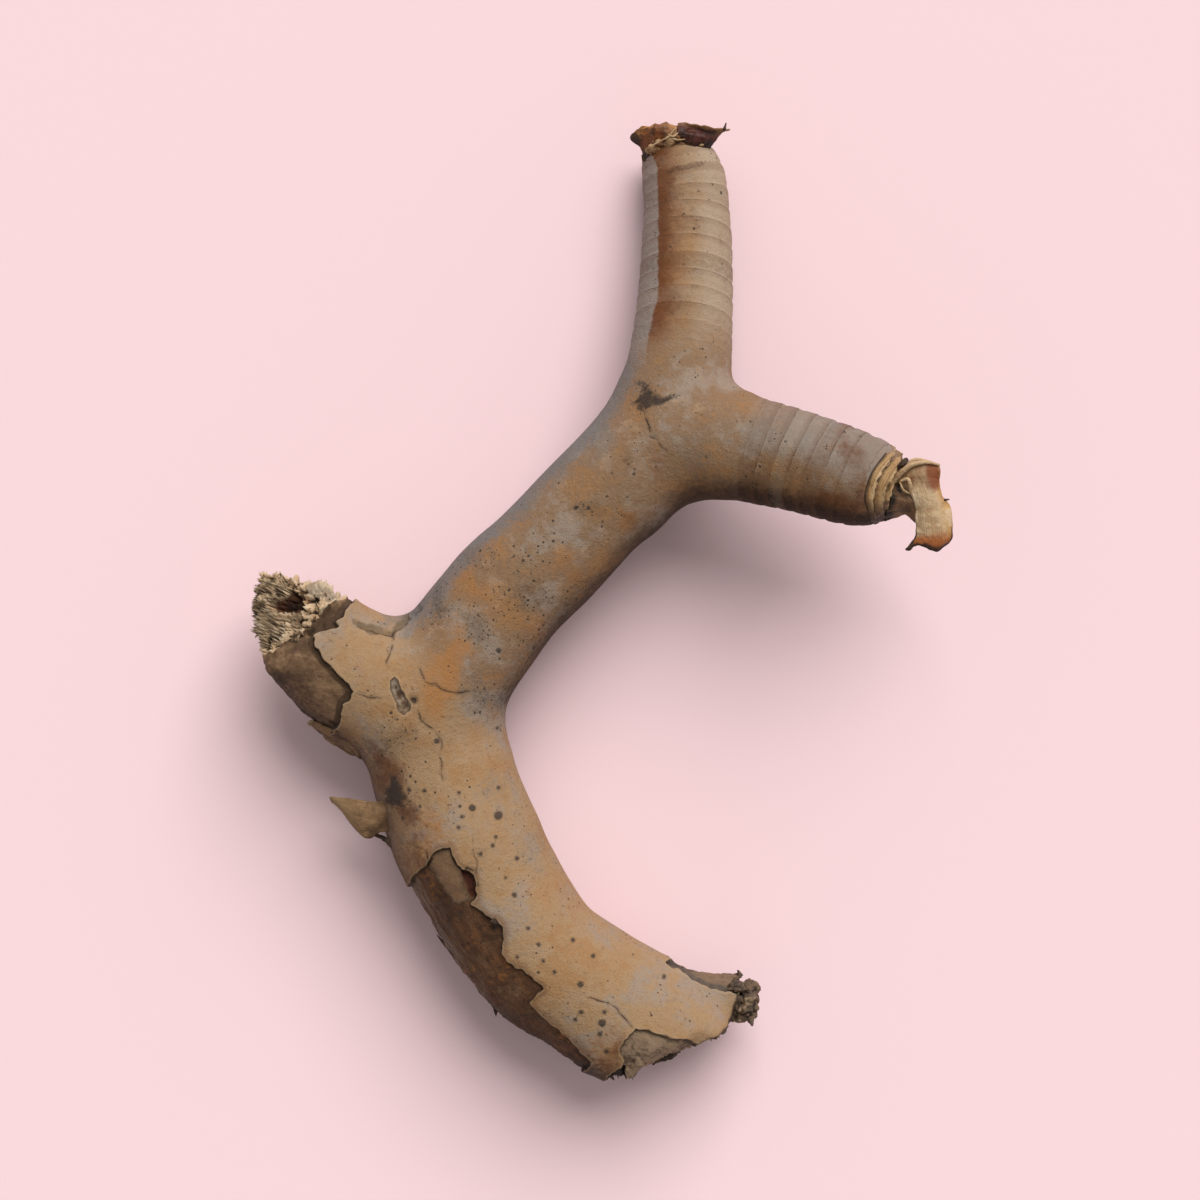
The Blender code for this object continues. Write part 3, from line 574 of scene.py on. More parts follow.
def marks_of(points, paths):
    """What there is at each point: a dictionary of arrays, with depths and distances in millimetres."""
    _, way, shares, alongs, broken = plain_form(points, paths)
    marks = {}
    up = np.clip(way[:, 2] * 3 + 0.9, 0, 1)
    ragged = sum(lumps(points, *edge) for edge in RAGGED_EDGE)
    for name, (outline, _, _) in OUTLINES.items():
        marks[name] = np.clip(depth_inside(points, outline) + ragged, -MARK_REACH, MARK_REACH)
    side, width = crack_distance(points)
    marks["crack"] = np.clip(side, -MARK_REACH, MARK_REACH)
    marks["crack_width"] = width * up
    wander = lumps(points, *RING_WANDER)
    marks["upper_turn"] = ring_turn(alongs[1], wander, *UPPER_RINGS[:2])
    marks["side_turn"] = ring_turn(alongs[3], wander, *SIDE_RINGS[:2])
    marks["upper_share"] = shares[1] * np.clip(marks["upper_turn"] / 5, 0, 1)
    marks["side_share"] = shares[3] * np.clip(marks["side_turn"] / 3, 0, 1)
    speck = np.full(len(points), float(MARK_REACH))
    for x, y, radius in SPECKS:
        speck = np.minimum(speck, np.hypot(points[:, 0] - x, points[:, 1] - y) - radius)
    marks["speck"] = np.where(up > 0.5, speck, MARK_REACH)
    under = 1 - up
    marks["ochre"] = up * patches(points, OCHRE) + under * np.clip(lumps(points, 1.6, 26, 41), 0, 1)
    marks["rust"] = up * patches(points, RUST)
    marks["grey"] = up * patches(points, GREY) + under * np.clip(lumps(points, 1.2, 30, 42), 0, 1)
    marks["speckled"] = up * patches(points, CLUSTERS) + under * np.clip(lumps(points, 1.2, 24, 43), 0, 1)
    marks["soot"] = up * patches(points, SOOT) + under * np.clip(lumps(points, 1.0, 20, 44) - 0.4, 0, 1)
    marks["limb"] = np.clip(shares[1] + shares[3], 0, 1)
    torn = np.clip((depth_inside(points, STUB_FIBRES) + ragged) / 1.2 + 0.5, 0, 1) * (points[:, 2] > 22)
    marks["broken"] = np.where(points[:, 0] < STUB_RIGHT_SIDE, torn, broken)
    marks["sky_reflection_strip"] = depth_inside(points, SKY_REFLECTION_STRIP) + 0.4 * ragged
    marks["crumbs"] = sum(height * (2 * np.abs(lumps(points, 1, size, seed)) - 0.75)
                          for height, size, seed in CRUMBS)
    # How far the surface faces the upper left: a painted blue-grey reflection of the sky on the limb
    # follows it.
    marks["upper_left_sky_reflection"] = way @ (-0.7, 0.7, 0.0)
    # How far the surface faces left: painted shade on the trunk and stub, and a painted sheen on the bare
    # wood's grey, follow it.
    marks["left_side_sheen_and_shade"] = np.clip(-way[:, 0], 0, 1)
    marks["end_broken"] = broken * (points[:, 1] < LOWER_END_TOP)
    # How far the surface faces down and towards -Y, away from the light: painted shade on undersides
    # follows it, and a painted highlight on the side twig's top.
    marks["low"] = np.clip(0.5 - way[:, 1] * 0.45 - way[:, 2] * 0.4, 0, 1)
    return marks, way


def step_height(depth, drop, width):
    """The step down at an outline, with the bark's lip curled up a little beside it."""
    lip = CURLED_LIP[0] * np.exp(-np.clip(-depth, 0, None) / CURLED_LIP[1]) * (depth < 0)
    return lip * np.clip(-depth / 0.3, 0, 1) * (drop > 1.7) - drop * np.clip(depth / width, 0, 1)


def ring_height(turn, depth):
    """A narrow groove at every scar, above a slight swelling."""
    place = turn - np.floor(turn)
    groove = np.exp(-((np.minimum(place, 1 - place) / RING_WIDTH) ** 2))
    return np.where(turn > 0, depth * (RING_SWELLING * place - groove), 0)


def relief(points, marks):
    """How far the surface stands above the plain limbs."""
    height = sum(lumps(points, *lump) for lump in GROWTH_LUMPS)
    height += marks["upper_share"] * ring_height(marks["upper_turn"], UPPER_RINGS[2])
    height += marks["side_share"] * ring_height(marks["side_turn"], SIDE_RINGS[2])
    for name, (_, drop, width) in OUTLINES.items():
        height += step_height(marks[name], drop, width)
    bare = np.clip(np.max([marks[name] for name in OUTLINES], axis=0) / 2, 0, 1)
    height += bare * sum(lumps(points, *lump) for lump in BARE_WOOD_LUMPS)
    width = np.maximum(marks["crack_width"], 1e-3)
    height -= CRACK_DEPTH * np.exp(-((marks["crack"] / (width + 0.2)) ** 2)) * np.clip(width * 2.2, 0, 1)
    height += 0.25 * np.clip(-marks["speck"] / 0.4, 0, 1)
    calmer = np.where(points[:, 1] < LOWER_END_TOP, 0.5, 1)
    height += marks["broken"] * (marks["crumbs"] - 0.6) * calmer
    for place, radius, depth in DENTS:
        reach = np.linalg.norm(points - place, axis=1) / radius
        height -= depth * np.exp(-(reach**4))
    return height


# Meshes


def limb_skin(path, around=28):
    """A round skin: at each place along the path a circle of the limb's radius, square to the path. Both
    ends narrow as a dome and close."""
    first, last = path[0], path[-1]
    back = (path[0] - path[1])[:3] / np.linalg.norm((path[0] - path[1])[:3])
    onward = (path[-1] - path[-2])[:3] / np.linalg.norm((path[-1] - path[-2])[:3])
    start = [np.append(first[:3] + back * first[3] * out, first[3] * left) for out, left in DOME]
    end = [np.append(last[:3] + onward * last[3] * out, last[3] * left) for out, left in DOME]
    path = np.vstack(start[::-1] + [path] + end)
    ahead = np.gradient(path[:, :3], axis=0)
    ahead /= np.linalg.norm(ahead, axis=1)[:, None]
    side = np.cross(ahead, (0, 0, 1))
    side /= np.linalg.norm(side, axis=1)[:, None]
    above = np.cross(side, ahead)
    turn = np.arange(around) * 2 * np.pi / around
    circle = np.cos(turn)[None, :, None] * side[:, None] + np.sin(turn)[None, :, None] * above[:, None]
    points = path[:, None, :3] + path[:, None, 3:] * circle
    corner = np.arange(points.shape[0] * around).reshape(points.shape[0], around)
    beside = np.roll(corner, -1, axis=1)
    faces = np.stack([corner[:-1], beside[:-1], beside[1:], corner[1:]], axis=-1).reshape(-1, 4).tolist()
    return points.reshape(-1, 3), faces + [corner[0, ::-1].tolist(), corner[-1].tolist()]


def mesh_object(name, points, faces):
    """A new object of these points in millimetres."""
    mesh = bpy.data.meshes.new(name)
    mesh.from_pydata(points * MM, [], faces)
    mesh.update()
    thing = bpy.data.objects.new(name, mesh)
    bpy.context.scene.collection.objects.link(thing)
    return thing


def applied(thing):
    """Leaves the object's mesh as its modifiers make it, with no modifier on it."""
    graph = bpy.context.evaluated_depsgraph_get()
    mesh = bpy.data.meshes.new_from_object(thing.evaluated_get(graph))
    thing.modifiers.clear()
    old, thing.data = thing.data, mesh
    bpy.data.meshes.remove(old)


def points_of(mesh):
    """A mesh's points in millimetres."""
    flat = np.empty(len(mesh.vertices) * 3)
    mesh.vertices.foreach_get("co", flat)
    return flat.reshape(-1, 3) / MM


def place_points(mesh, points):
    """Moves a mesh's points to these places in millimetres."""
    mesh.vertices.foreach_set("co", (points * MM).ravel())
    mesh.update()


def mark(thing, name, values):
    """Stores one value for each point of the object under this name."""
    thing.data.attributes.new(name, "FLOAT", "POINT").data.foreach_set("value", values.ravel())


def edge_nearness(points):
    """How near each point is to a bark edge, a crack, a large speck or the stub's broken face, in
    millimetres."""
    ragged = sum(lumps(points, *edge) for edge in RAGGED_EDGE)
    depths = [np.abs(depth_inside(points, outline) + ragged) for outline, _, _ in OUTLINES.values()]
    near = np.min(depths, axis=0)
    side, width = crack_distance(points)
    near = np.minimum(near, np.where(width > 0, np.abs(side) + 0.5, FAR_FROM_CRACKS))
    for x, y, radius in SPECKS:
        near = np.minimum(near, np.hypot(points[:, 0] - x, points[:, 1] - y) - radius + 0.8)
    stub = np.flatnonzero(points[:, 0] < STUB_RIGHT_SIDE)
    torn = depth_inside(points[stub], STUB_FIBRES) > -1
    near[stub] = np.minimum(near[stub], np.where(torn, 1.5, FAR_FROM_CRACKS))
    return near


def finer(mesh, wanted):
    """Halves every edge whose two ends are wanted."""
    net = bmesh.new()
    net.from_mesh(mesh)
    ends = np.empty(len(mesh.edges) * 2, np.int32)
    mesh.edges.foreach_get("vertices", ends)
    chosen = np.flatnonzero(wanted[ends.reshape(-1, 2)].all(axis=1))
    net.edges.ensure_lookup_table()
    bmesh.ops.subdivide_edges(net, edges=[net.edges[i] for i in chosen], cuts=1, use_grid_fill=True)
    net.to_mesh(mesh)
    net.free()


def make_branch(paths):
    """The whole branch: the limbs' skins joined into one even mesh, settled on the form, finer beside
    cracks, bark edges and specks, and raised by its relief."""
    points, faces = [], []
    for path in paths:
        some, theirs = limb_skin(path)
        count = sum(map(len, points))
        points.append(some)
        faces += [[corner + count for corner in face] for face in theirs]
    branch = mesh_object("dry_branch_wood", np.concatenate(points), faces)
    even = branch.modifiers.new("Even faces", "REMESH")
    even.mode = "VOXEL"
    even.voxel_size = EVEN_MESH * MM
    applied(branch)
    mesh = branch.data
    place_points(mesh, settled(points_of(mesh), paths, rounds=3))
    for reach in (2.2, 1.1):
        places = points_of(mesh)
        up = places[:, 2] > 30
        finer(mesh, up & (edge_nearness(places) < reach))
        places = np.concatenate([places, settled(points_of(mesh)[len(places):], paths, rounds=1)])
        place_points(mesh, places)
    marks, way = marks_of(places, paths)
    raised = places + way * relief(places, marks)[:, None]
    raised = np.maximum(raised, NEAREST_CORNER)
    place_points(mesh, raised)
    for name, values in marks.items():
        mark(branch, name, values.astype(np.float32))
    return branch, raised, way, marks


def splinters(name, feet, points, widths, seed):
    """Pointed flat splinters, one from each foot to its point: at four places along it a flat triangle,
    square to it and narrowing to the point, moved sideways by the square of its share of the length."""
    random = np.random.default_rng(seed)
    along = points - feet
    length = np.linalg.norm(along, axis=1, keepdims=True)
    side = np.cross(along, random.normal(size=feet.shape))
    side /= np.linalg.norm(side, axis=1, keepdims=True)
    flat = np.cross(along / length, side)
    share = np.array([0, 0.35, 0.7, 1.0])[:, None]
    middle = feet[:, None] + along[:, None] * share
    middle = middle + (side * length * random.uniform(-0.25, 0.25, length.shape))[:, None] * share**2
    half = widths[:, None, None] * (1.05 - share**2.5)
    corners = np.stack([middle - half * side[:, None], middle + half * side[:, None],
                        middle + 0.45 * half * flat[:, None]], axis=2)
    number = np.arange(len(feet) * 12).reshape(len(feet), 4, 3)
    beside = np.roll(number, -1, axis=2)
    faces = np.stack([number[:, :-1], beside[:, :-1], beside[:, 1:], number[:, 1:]], axis=-1)
    caps = np.concatenate([number[:, 0, ::-1], number[:, -1]])
    thing = mesh_object(name, corners.reshape(-1, 3), faces.reshape(-1, 4).tolist() + caps.tolist())
    mark(thing, "outward", np.broadcast_to(share[None], (len(feet), 4, 3)))
    return thing


def fibre_lumps(name, balls, steps=84):
    """Crumpled balls: an egg creased where each of several random heights passes through zero, closed at
    both poles."""
    points, faces, folds = [], [], []
    around = np.arange(steps) * 2 * np.pi / steps
    down = (np.arange(1, steps // 2) * 2 * np.pi / steps)[:, None]
    ball = np.stack([np.cos(down) * np.ones(steps), np.sin(down) * np.cos(around),
                     np.sin(down) * np.sin(around)], axis=-1)
    for count, (middle, reach) in enumerate(balls):
        skin = ball.reshape(-1, 3) * reach + middle
        rise = sum(depth * np.abs(lumps(skin, 1, size, 91 + n)) for n, (depth, size) in enumerate(CREASES))
        points.append((skin - middle) * (0.78 + rise)[:, None] + middle)
        folds.append(rise)
        corner = np.arange(ball.shape[0] * steps).reshape(-1, steps) + count * ball.shape[0] * steps
        beside = np.roll(corner, -1, axis=1)
        bands = np.stack([corner[:-1], corner[1:], beside[1:], beside[:-1]], axis=-1)
        faces += bands.reshape(-1, 4).tolist()
        faces += [corner[0].tolist(), corner[-1, ::-1].tolist()]
    thing = mesh_object(name, np.concatenate(points), faces)
    mark(thing, "outward", np.concatenate(folds))
    return thing


def sheet(name, rows, steps, thickness, creases, seed, edge, stains=()):
    """A thin curved sheet: a smooth surface through rows of places, each point moved along the surface's
    normal by creased random heights, with a ragged rim, thickened on both sides."""
    rows = np.array(rows, float)
    longer = smooth_curve(rows, [steps] * (len(rows) - 1))
    grid = smooth_curve(longer.swapaxes(0, 1), [steps] * (rows.shape[1] - 1)).swapaxes(0, 1)
    down, across = grid.shape[:2]
    normal = np.cross(np.gradient(grid, axis=0), np.gradient(grid, axis=1))
    normal /= np.maximum(np.linalg.norm(normal, axis=2), 1e-9)[..., None]
    flat = grid.reshape(-1, 3)
    bend = sum(height * (1.6 * np.abs(lumps(flat, 1, size, seed + n)) - 0.4)
               for n, (height, size) in enumerate(creases))
    u, v = np.meshgrid(np.linspace(0, 1, down), np.linspace(0, 1, across), indexing="ij")
    if edge:
        inward = grid[[-3]] - grid[[-1]]
        inward /= np.maximum(np.linalg.norm(inward, axis=2), 1e-9)[..., None]
        notch = np.clip(lumps(flat, edge, 2.4, seed + 9).reshape(down, across) + edge * 0.4, 0, None)
        flat = (grid + inward * (notch * np.clip((u - 0.8) / 0.2, 0, 1))[..., None]).reshape(-1, 3)
    flat = flat + normal.reshape(-1, 3) * bend[:, None]
    corner = np.arange(down * across).reshape(down, across)
    faces = np.stack([corner[:-1, :-1], corner[1:, :-1], corner[1:, 1:], corner[:-1, 1:]], axis=-1)
    thing = mesh_object(name, flat, faces.reshape(-1, 4).tolist())
    rim = np.minimum(np.minimum(1 - u, v), 1 - v)
    stain = patches(flat, stains, 0.3)
    for label, values in dict(outward=u, across=v, rim=rim, stain=stain, crease=bend).items():
        mark(thing, label, values)
    wall = thing.modifiers.new("Thickness", "SOLIDIFY")
    wall.thickness = thickness * MM
    wall.offset = 0
    return thing


def threads(name, paths_of_threads):
    """Round skins along smooth paths, together in one mesh."""
    points, faces = [], []
    for places in paths_of_threads:
        some, theirs = limb_skin(smooth_curve(np.array(places, float), [6] * (len(places) - 1)), 10)
        count = sum(map(len, points))
        points.append(some)
        faces += [[corner + count for corner in face[::-1]] for face in theirs]
    return mesh_object(name, np.concatenate(points), faces)


# Materials


def rgb(code):
    """The linear colour of an sRGB hex value."""
    parts = [int(code[n : n + 2], 16) / 255 for n in (0, 2, 4)]
    return (*[p / 12.92 if p <= 0.04045 else ((p + 0.055) / 1.055) ** 2.4 for p in parts], 1)


def add(tree, kind, inputs=None, **settings):
    """Adds a node: settings are its own properties; an input is a value, or a node or socket to link."""
    node = tree.nodes.new(kind)
    for name, value in settings.items():
        setattr(node, name, value)
    for name, value in (inputs or {}).items():
        if isinstance(name, int):
            socket = node.inputs[name]
        else:
            socket = next(s for s in node.inputs if s.enabled and s.name == name)
        if isinstance(value, bpy.types.Node):
            value = next(s for s in value.outputs if s.enabled)
        if isinstance(value, bpy.types.NodeSocket):
            tree.links.new(value, socket)
        else:
            socket.default_value = value
    return node


def new_material(name, roughness):
    """A material with its shader's even values set, its tree and its shader."""
    material = bpy.data.materials.new(name)
    material.use_nodes = True
    shader = material.node_tree.nodes["Principled BSDF"]
    shader.inputs["Roughness"].default_value = roughness
    shader.inputs["IOR"].default_value = 1.45
    return material, material.node_tree, shader


def coated(tree, base, coats, sources):
    """The base colour with coats laid over it in turn. A coat is its colour, its greatest share and what it
    follows: each a source, the values where the coat is absent and where it is full, and the noises that
    make that border uneven, with their amounts."""
    for colour, share, *followed in coats:
        for source, absent, full, *uneven in followed:
            value = sources[source]
            middle = sum(amount for _, amount in uneven) / 2
            for noise, amount in uneven:
                value = add(tree, "ShaderNodeMath", {0: sources[noise], 1: amount, 2: value},
                            operation="MULTIPLY_ADD")
            share = add(tree, "ShaderNodeMapRange", {"Value": value, "From Min": absent + middle,
                        "From Max": full + middle, "To Max": share}, interpolation_type="SMOOTHSTEP")
        over = sources[colour] if colour in sources else rgb(colour)
        base = add(tree, "ShaderNodeMix", {"Factor": share, "A": base, "B": over}, data_type="RGBA")
    return base


# The bark: tan on the trunk, greyer on the limb, paler up the upper twig and browner on the side twig, with
# blue-grey veils, partly weathered wax and partly a painted reflection of the sky on the upper left rims,
# ochre and rust stains and soot. Painted shade darkens the undersides and the left side of the trunk and
# stub, and a painted highlight pales the top of the side twig.
BARK_COATS = [
    ("8a6e54", 1.0, ("limb", 0.1, 0.9)),
    ("a3876b", 1.0, ("upper_share", 0.0, 0.9)),
    ("82664b", 1.0, ("side_share", 0.0, 1.0)),
    ("988b80", 0.75, ("broad", 0.49, 0.64, ("middle", 0.5))),
    ("9f7140", 0.5, ("broad", 0.48, 0.34, ("middle", 0.5), ("fine", 0.3))),
    ("b59a7c", 0.5, ("middle", 0.54, 0.7, ("fine", 0.4))),
    ("6f5239", 0.4, ("fine", 0.54, 0.74, ("grain", 0.4))),
    ("b59e82", 0.25, ("grain", 0.5, 0.72)),
    ("5f4730", 0.28, ("grain", 0.46, 0.28)),
    ("a5713b", 0.8, ("ochre", 0.0, 1.6, ("middle", 2.6), ("fine", 1.8), ("grain", 0.8))),
    ("b5a591", 0.65, ("sky_reflection_strip", -15, -27, ("middle", 8), ("fine", 5)), ("upper_share", 0.2, 0.8)),
    ("6e390a", 0.92, ("sky_reflection_strip", -17, -1, ("middle", 16), ("fine", 8)), ("upper_share", 0.1, 0.6)),
    # Painted highlight: a paler grey on the side twig's top, which faces the light.
    ("928d89", 0.6, ("low", 0.2, -0.04, ("middle", 0.35), ("fine", 0.2)), ("side_share", 0.2, 0.9)),
    ("663b1b", 0.85, ("rust", 0.1, 1.3, ("middle", 1.4), ("fine", 1.2), ("grain", 0.4))),
    # Grey weathering, partly a painted blue-grey reflection of the sky on the limb's and upper twig's upper
    # left rims.
    ("757370", 0.65, ("grey", 0.1, 1.2, ("middle", 1.2), ("fine", 1.6), ("grain", 0.9))),
    # Painted reflection: a blue-grey band of sky along the limb's upper left side.
    ("757474", 0.75, ("upper_left_sky_reflection", 0.62, 0.9, ("middle", 0.2), ("fine", 0.35)), ("limb", 0.2, 0.8)),
    # Painted reflection: a blue-grey strip of sky along the upper twig's left side.
    ("9b928b", 0.85, ("sky_reflection_strip", -0.5, 0.6, ("fine", 1.2)), ("upper_share", 0.0, 0.5)),
    # Painted shade: darker brown on the left side of the trunk and stub, away from the light.
    ("5b3e26", 0.6, ("left_side_sheen_and_shade", 0.35, 0.9, ("middle", 0.5), ("fine", 0.3)), ("limb", 0.5, 0.1)),
    # Painted shade on the undersides, deeper on the side twig's.
    ("33200f", 0.92, ("low", 0.37, 0.76, ("middle", 0.35), ("fine", 0.3))),
    ("301c0d", 0.85, ("low", 0.42, 0.72, ("fine", 0.2)), ("side_share", 0.2, 0.9)),
    # Dirt and painted shade: a soft brown band on the bark just outside the trunk's bare wood.
    ("674528", 0.65, ("trunk_bare", -5, -0.2, ("middle", 4), ("fine", 3))),
    ("4c3e33", 0.5, ("speckled", 0.3, 1.3, ("fine", 1.6), ("grain", 1.4))),
    ("2b2420", 0.85, ("soot", 0.4, 1.1, ("fine", 1.6), ("grain", 1.2))),
]

# The bands between leaf scars, darker and lighter by turns, and the thin dark line at a scar.
RING_COATS = [
    ("5d3f25", 0.4, ("tone", 0.45, 1.0), ("inner", 0.0, 0.2), ("fine", 0.7, 0.35)),
    ("ab9b87", 0.2, ("tone", 0.55, 0.0), ("inner", 0.0, 0.2), ("fine", 0.3, 0.6)),
    ("64432a", 0.35, ("place", 0.55, 1.0, ("fine", 0.3))),
    ("33221a", 0.6, ("inner", 0.06, 0.0), ("middle", 0.35, 0.65, ("fine", 0.3))),
]

# The shallow grey groove at the crook, dark raised specks, and hairlines that come and go.
LINE_COATS = [
    ("66553f", 0.7, ("crook_groove", -0.8, 1.0, ("fine", 2.6))),
    ("54453a", 0.5, ("speck", 1.1, 0.0, ("grain", 0.9))),
    ("38302a", 0.78, ("speck", 0.35, -0.3, ("grain", 0.8))),
    ("5a4430", 0.5, ("beside_crack", 1.3, 0.0, ("fine", 1.5)), ("crack_width", 0.02, 0.12)),
    ("241a13", 0.9, ("beside_crack", 0.22, -0.08, ("grain", 0.3)), ("crack_width", 0.02, 0.12),
     ("fine", 0.3, 0.45)),
]

STUB_WOOD_COATS = [
    ("94795b", 0.7, ("stub_grain", 0.5, 0.66)),
    ("513b2a", 0.75, ("broad", 0.48, 0.65, ("fine", 0.5))),
    # Painted shade on the stub wood's underside.
    ("33241a", 0.95, ("low", 0.35, 0.8, ("fine", 0.3))),
    # Painted shade: a dark brown band just inside the bark's edge, where the thick bark shades the wood.
    ("43301f", 0.85, ("stub_bare", 4.4, 3.0, ("fine", 1.2))),
    ("ab9372", 0.45, ("stub_grain", 0.62, 0.75)),
    ("837b6e", 0.9, ("grey", 0.3, 0.9, ("fine", 0.8))),
    ("2b211a", 0.8, ("middle", 0.5, 0.38, ("fine", 0.4)), ("grey", 0.2, 0.6)),
]
TRUNK_WOOD_COATS = [
    ("75502f", 0.6, ("trunk_grain", 0.47, 0.64)),
    ("7c6044", 0.7, ("middle", 0.5, 0.66, ("fine", 0.4))),
    ("94612f", 0.6, ("middle", 0.42, 0.3, ("fine", 0.3))),
    ("2a180d", 0.8, ("fine", 0.52, 0.7, ("grain", 0.3))),
    ("22130b", 0.55, ("broad", 0.5, 0.64, ("middle", 0.4))),
    ("7c6148", 0.85, ("grey_layer", -0.4, 0.8, ("fine", 2.0))),
    # Painted shade on the bare wood's underside.
    ("26180f", 0.7, ("low", 0.5, 0.8, ("middle", 0.3))),
    ("4a3a2b", 0.6, ("grey_layer", 2.5, 0.4, ("fine", 2.5)), ("grey_layer", -0.4, 0.4)),
    ("451c0f", 0.9, ("red_pit", -0.2, 1.2, ("fine", 2.0))),
    # A grey band on the bare wood's left side: partly the wood's weathered grey, partly a painted sheen.
    ("80776a", 0.65, ("left_side_sheen_and_shade", 0.55, 0.85, ("middle", 0.3)), ("trunk_grain", 0.42, 0.6)),
]
END_WOOD_COATS = [
    ("5a4634", 0.8, ("trunk_grain", 0.5, 0.66)),
    ("a38e70", 0.7, ("fine", 0.54, 0.72)),
    ("45362a", 0.7, ("middle", 0.5, 0.36, ("fine", 0.3))),
]
HOLLOW_COATS = [
    ("574e48", 0.9, ("tail_hollow", 5.5, 3.5, ("middle", 1.0))),
    ("93795d", 0.5, ("fine", 0.5, 0.7)),
    ("453a32", 0.6, ("fine", 0.48, 0.3)),
]
FIBRE_COATS = [
    ("968c7e", 0.8, ("grey", 0.2, 1.0, ("fine", 0.5))),
    # Painted highlight on the raised crumbs.
    ("e0cdb0", 0.7, ("crumbs", 0.0, 1.5, ("fine", 0.9))),
    # Painted shade in the pits between the crumbs.
    ("3a2819", 0.95, ("crumbs", -0.9, -2.0, ("fine", 0.8))),
    ("94683f", 0.5, ("middle", 0.5, 0.66), ("fine", 0.4, 0.6)),
]
KNOT_COATS = [
    ("97897a", 0.7, ("middle", 0.56, 0.44, ("fine", 0.5))), ("5a4430", 0.8, ("fine", 0.46, 0.6)),
    ("4d3a28", 0.6, ("knot_scar", 1.0, 0.2, ("fine", 3.0))),
    ("45200f", 0.9, ("knot_scar", 1.9, 2.8, ("fine", 1.0))),
]

# Where each kind of wood shows, with a pale torn lip outside it and a shadow of the given share just
# inside.
WOODS = [
    ("stub_bare", "82664b", STUB_WOOD_COATS, 0.6), ("trunk_bare", "583a24", TRUNK_WOOD_COATS, 0.6),
    # The lower end's cavity is nearly black: painted shade in the hollow.
    ("end_bare", "957e67", END_WOOD_COATS, 0.6), ("end_cavity", "1d130c", [], 0.8),
    ("tail_hollow", "7d6753", HOLLOW_COATS, 0.4), ("knot_scar", "87725d", KNOT_COATS, 0.1),
]


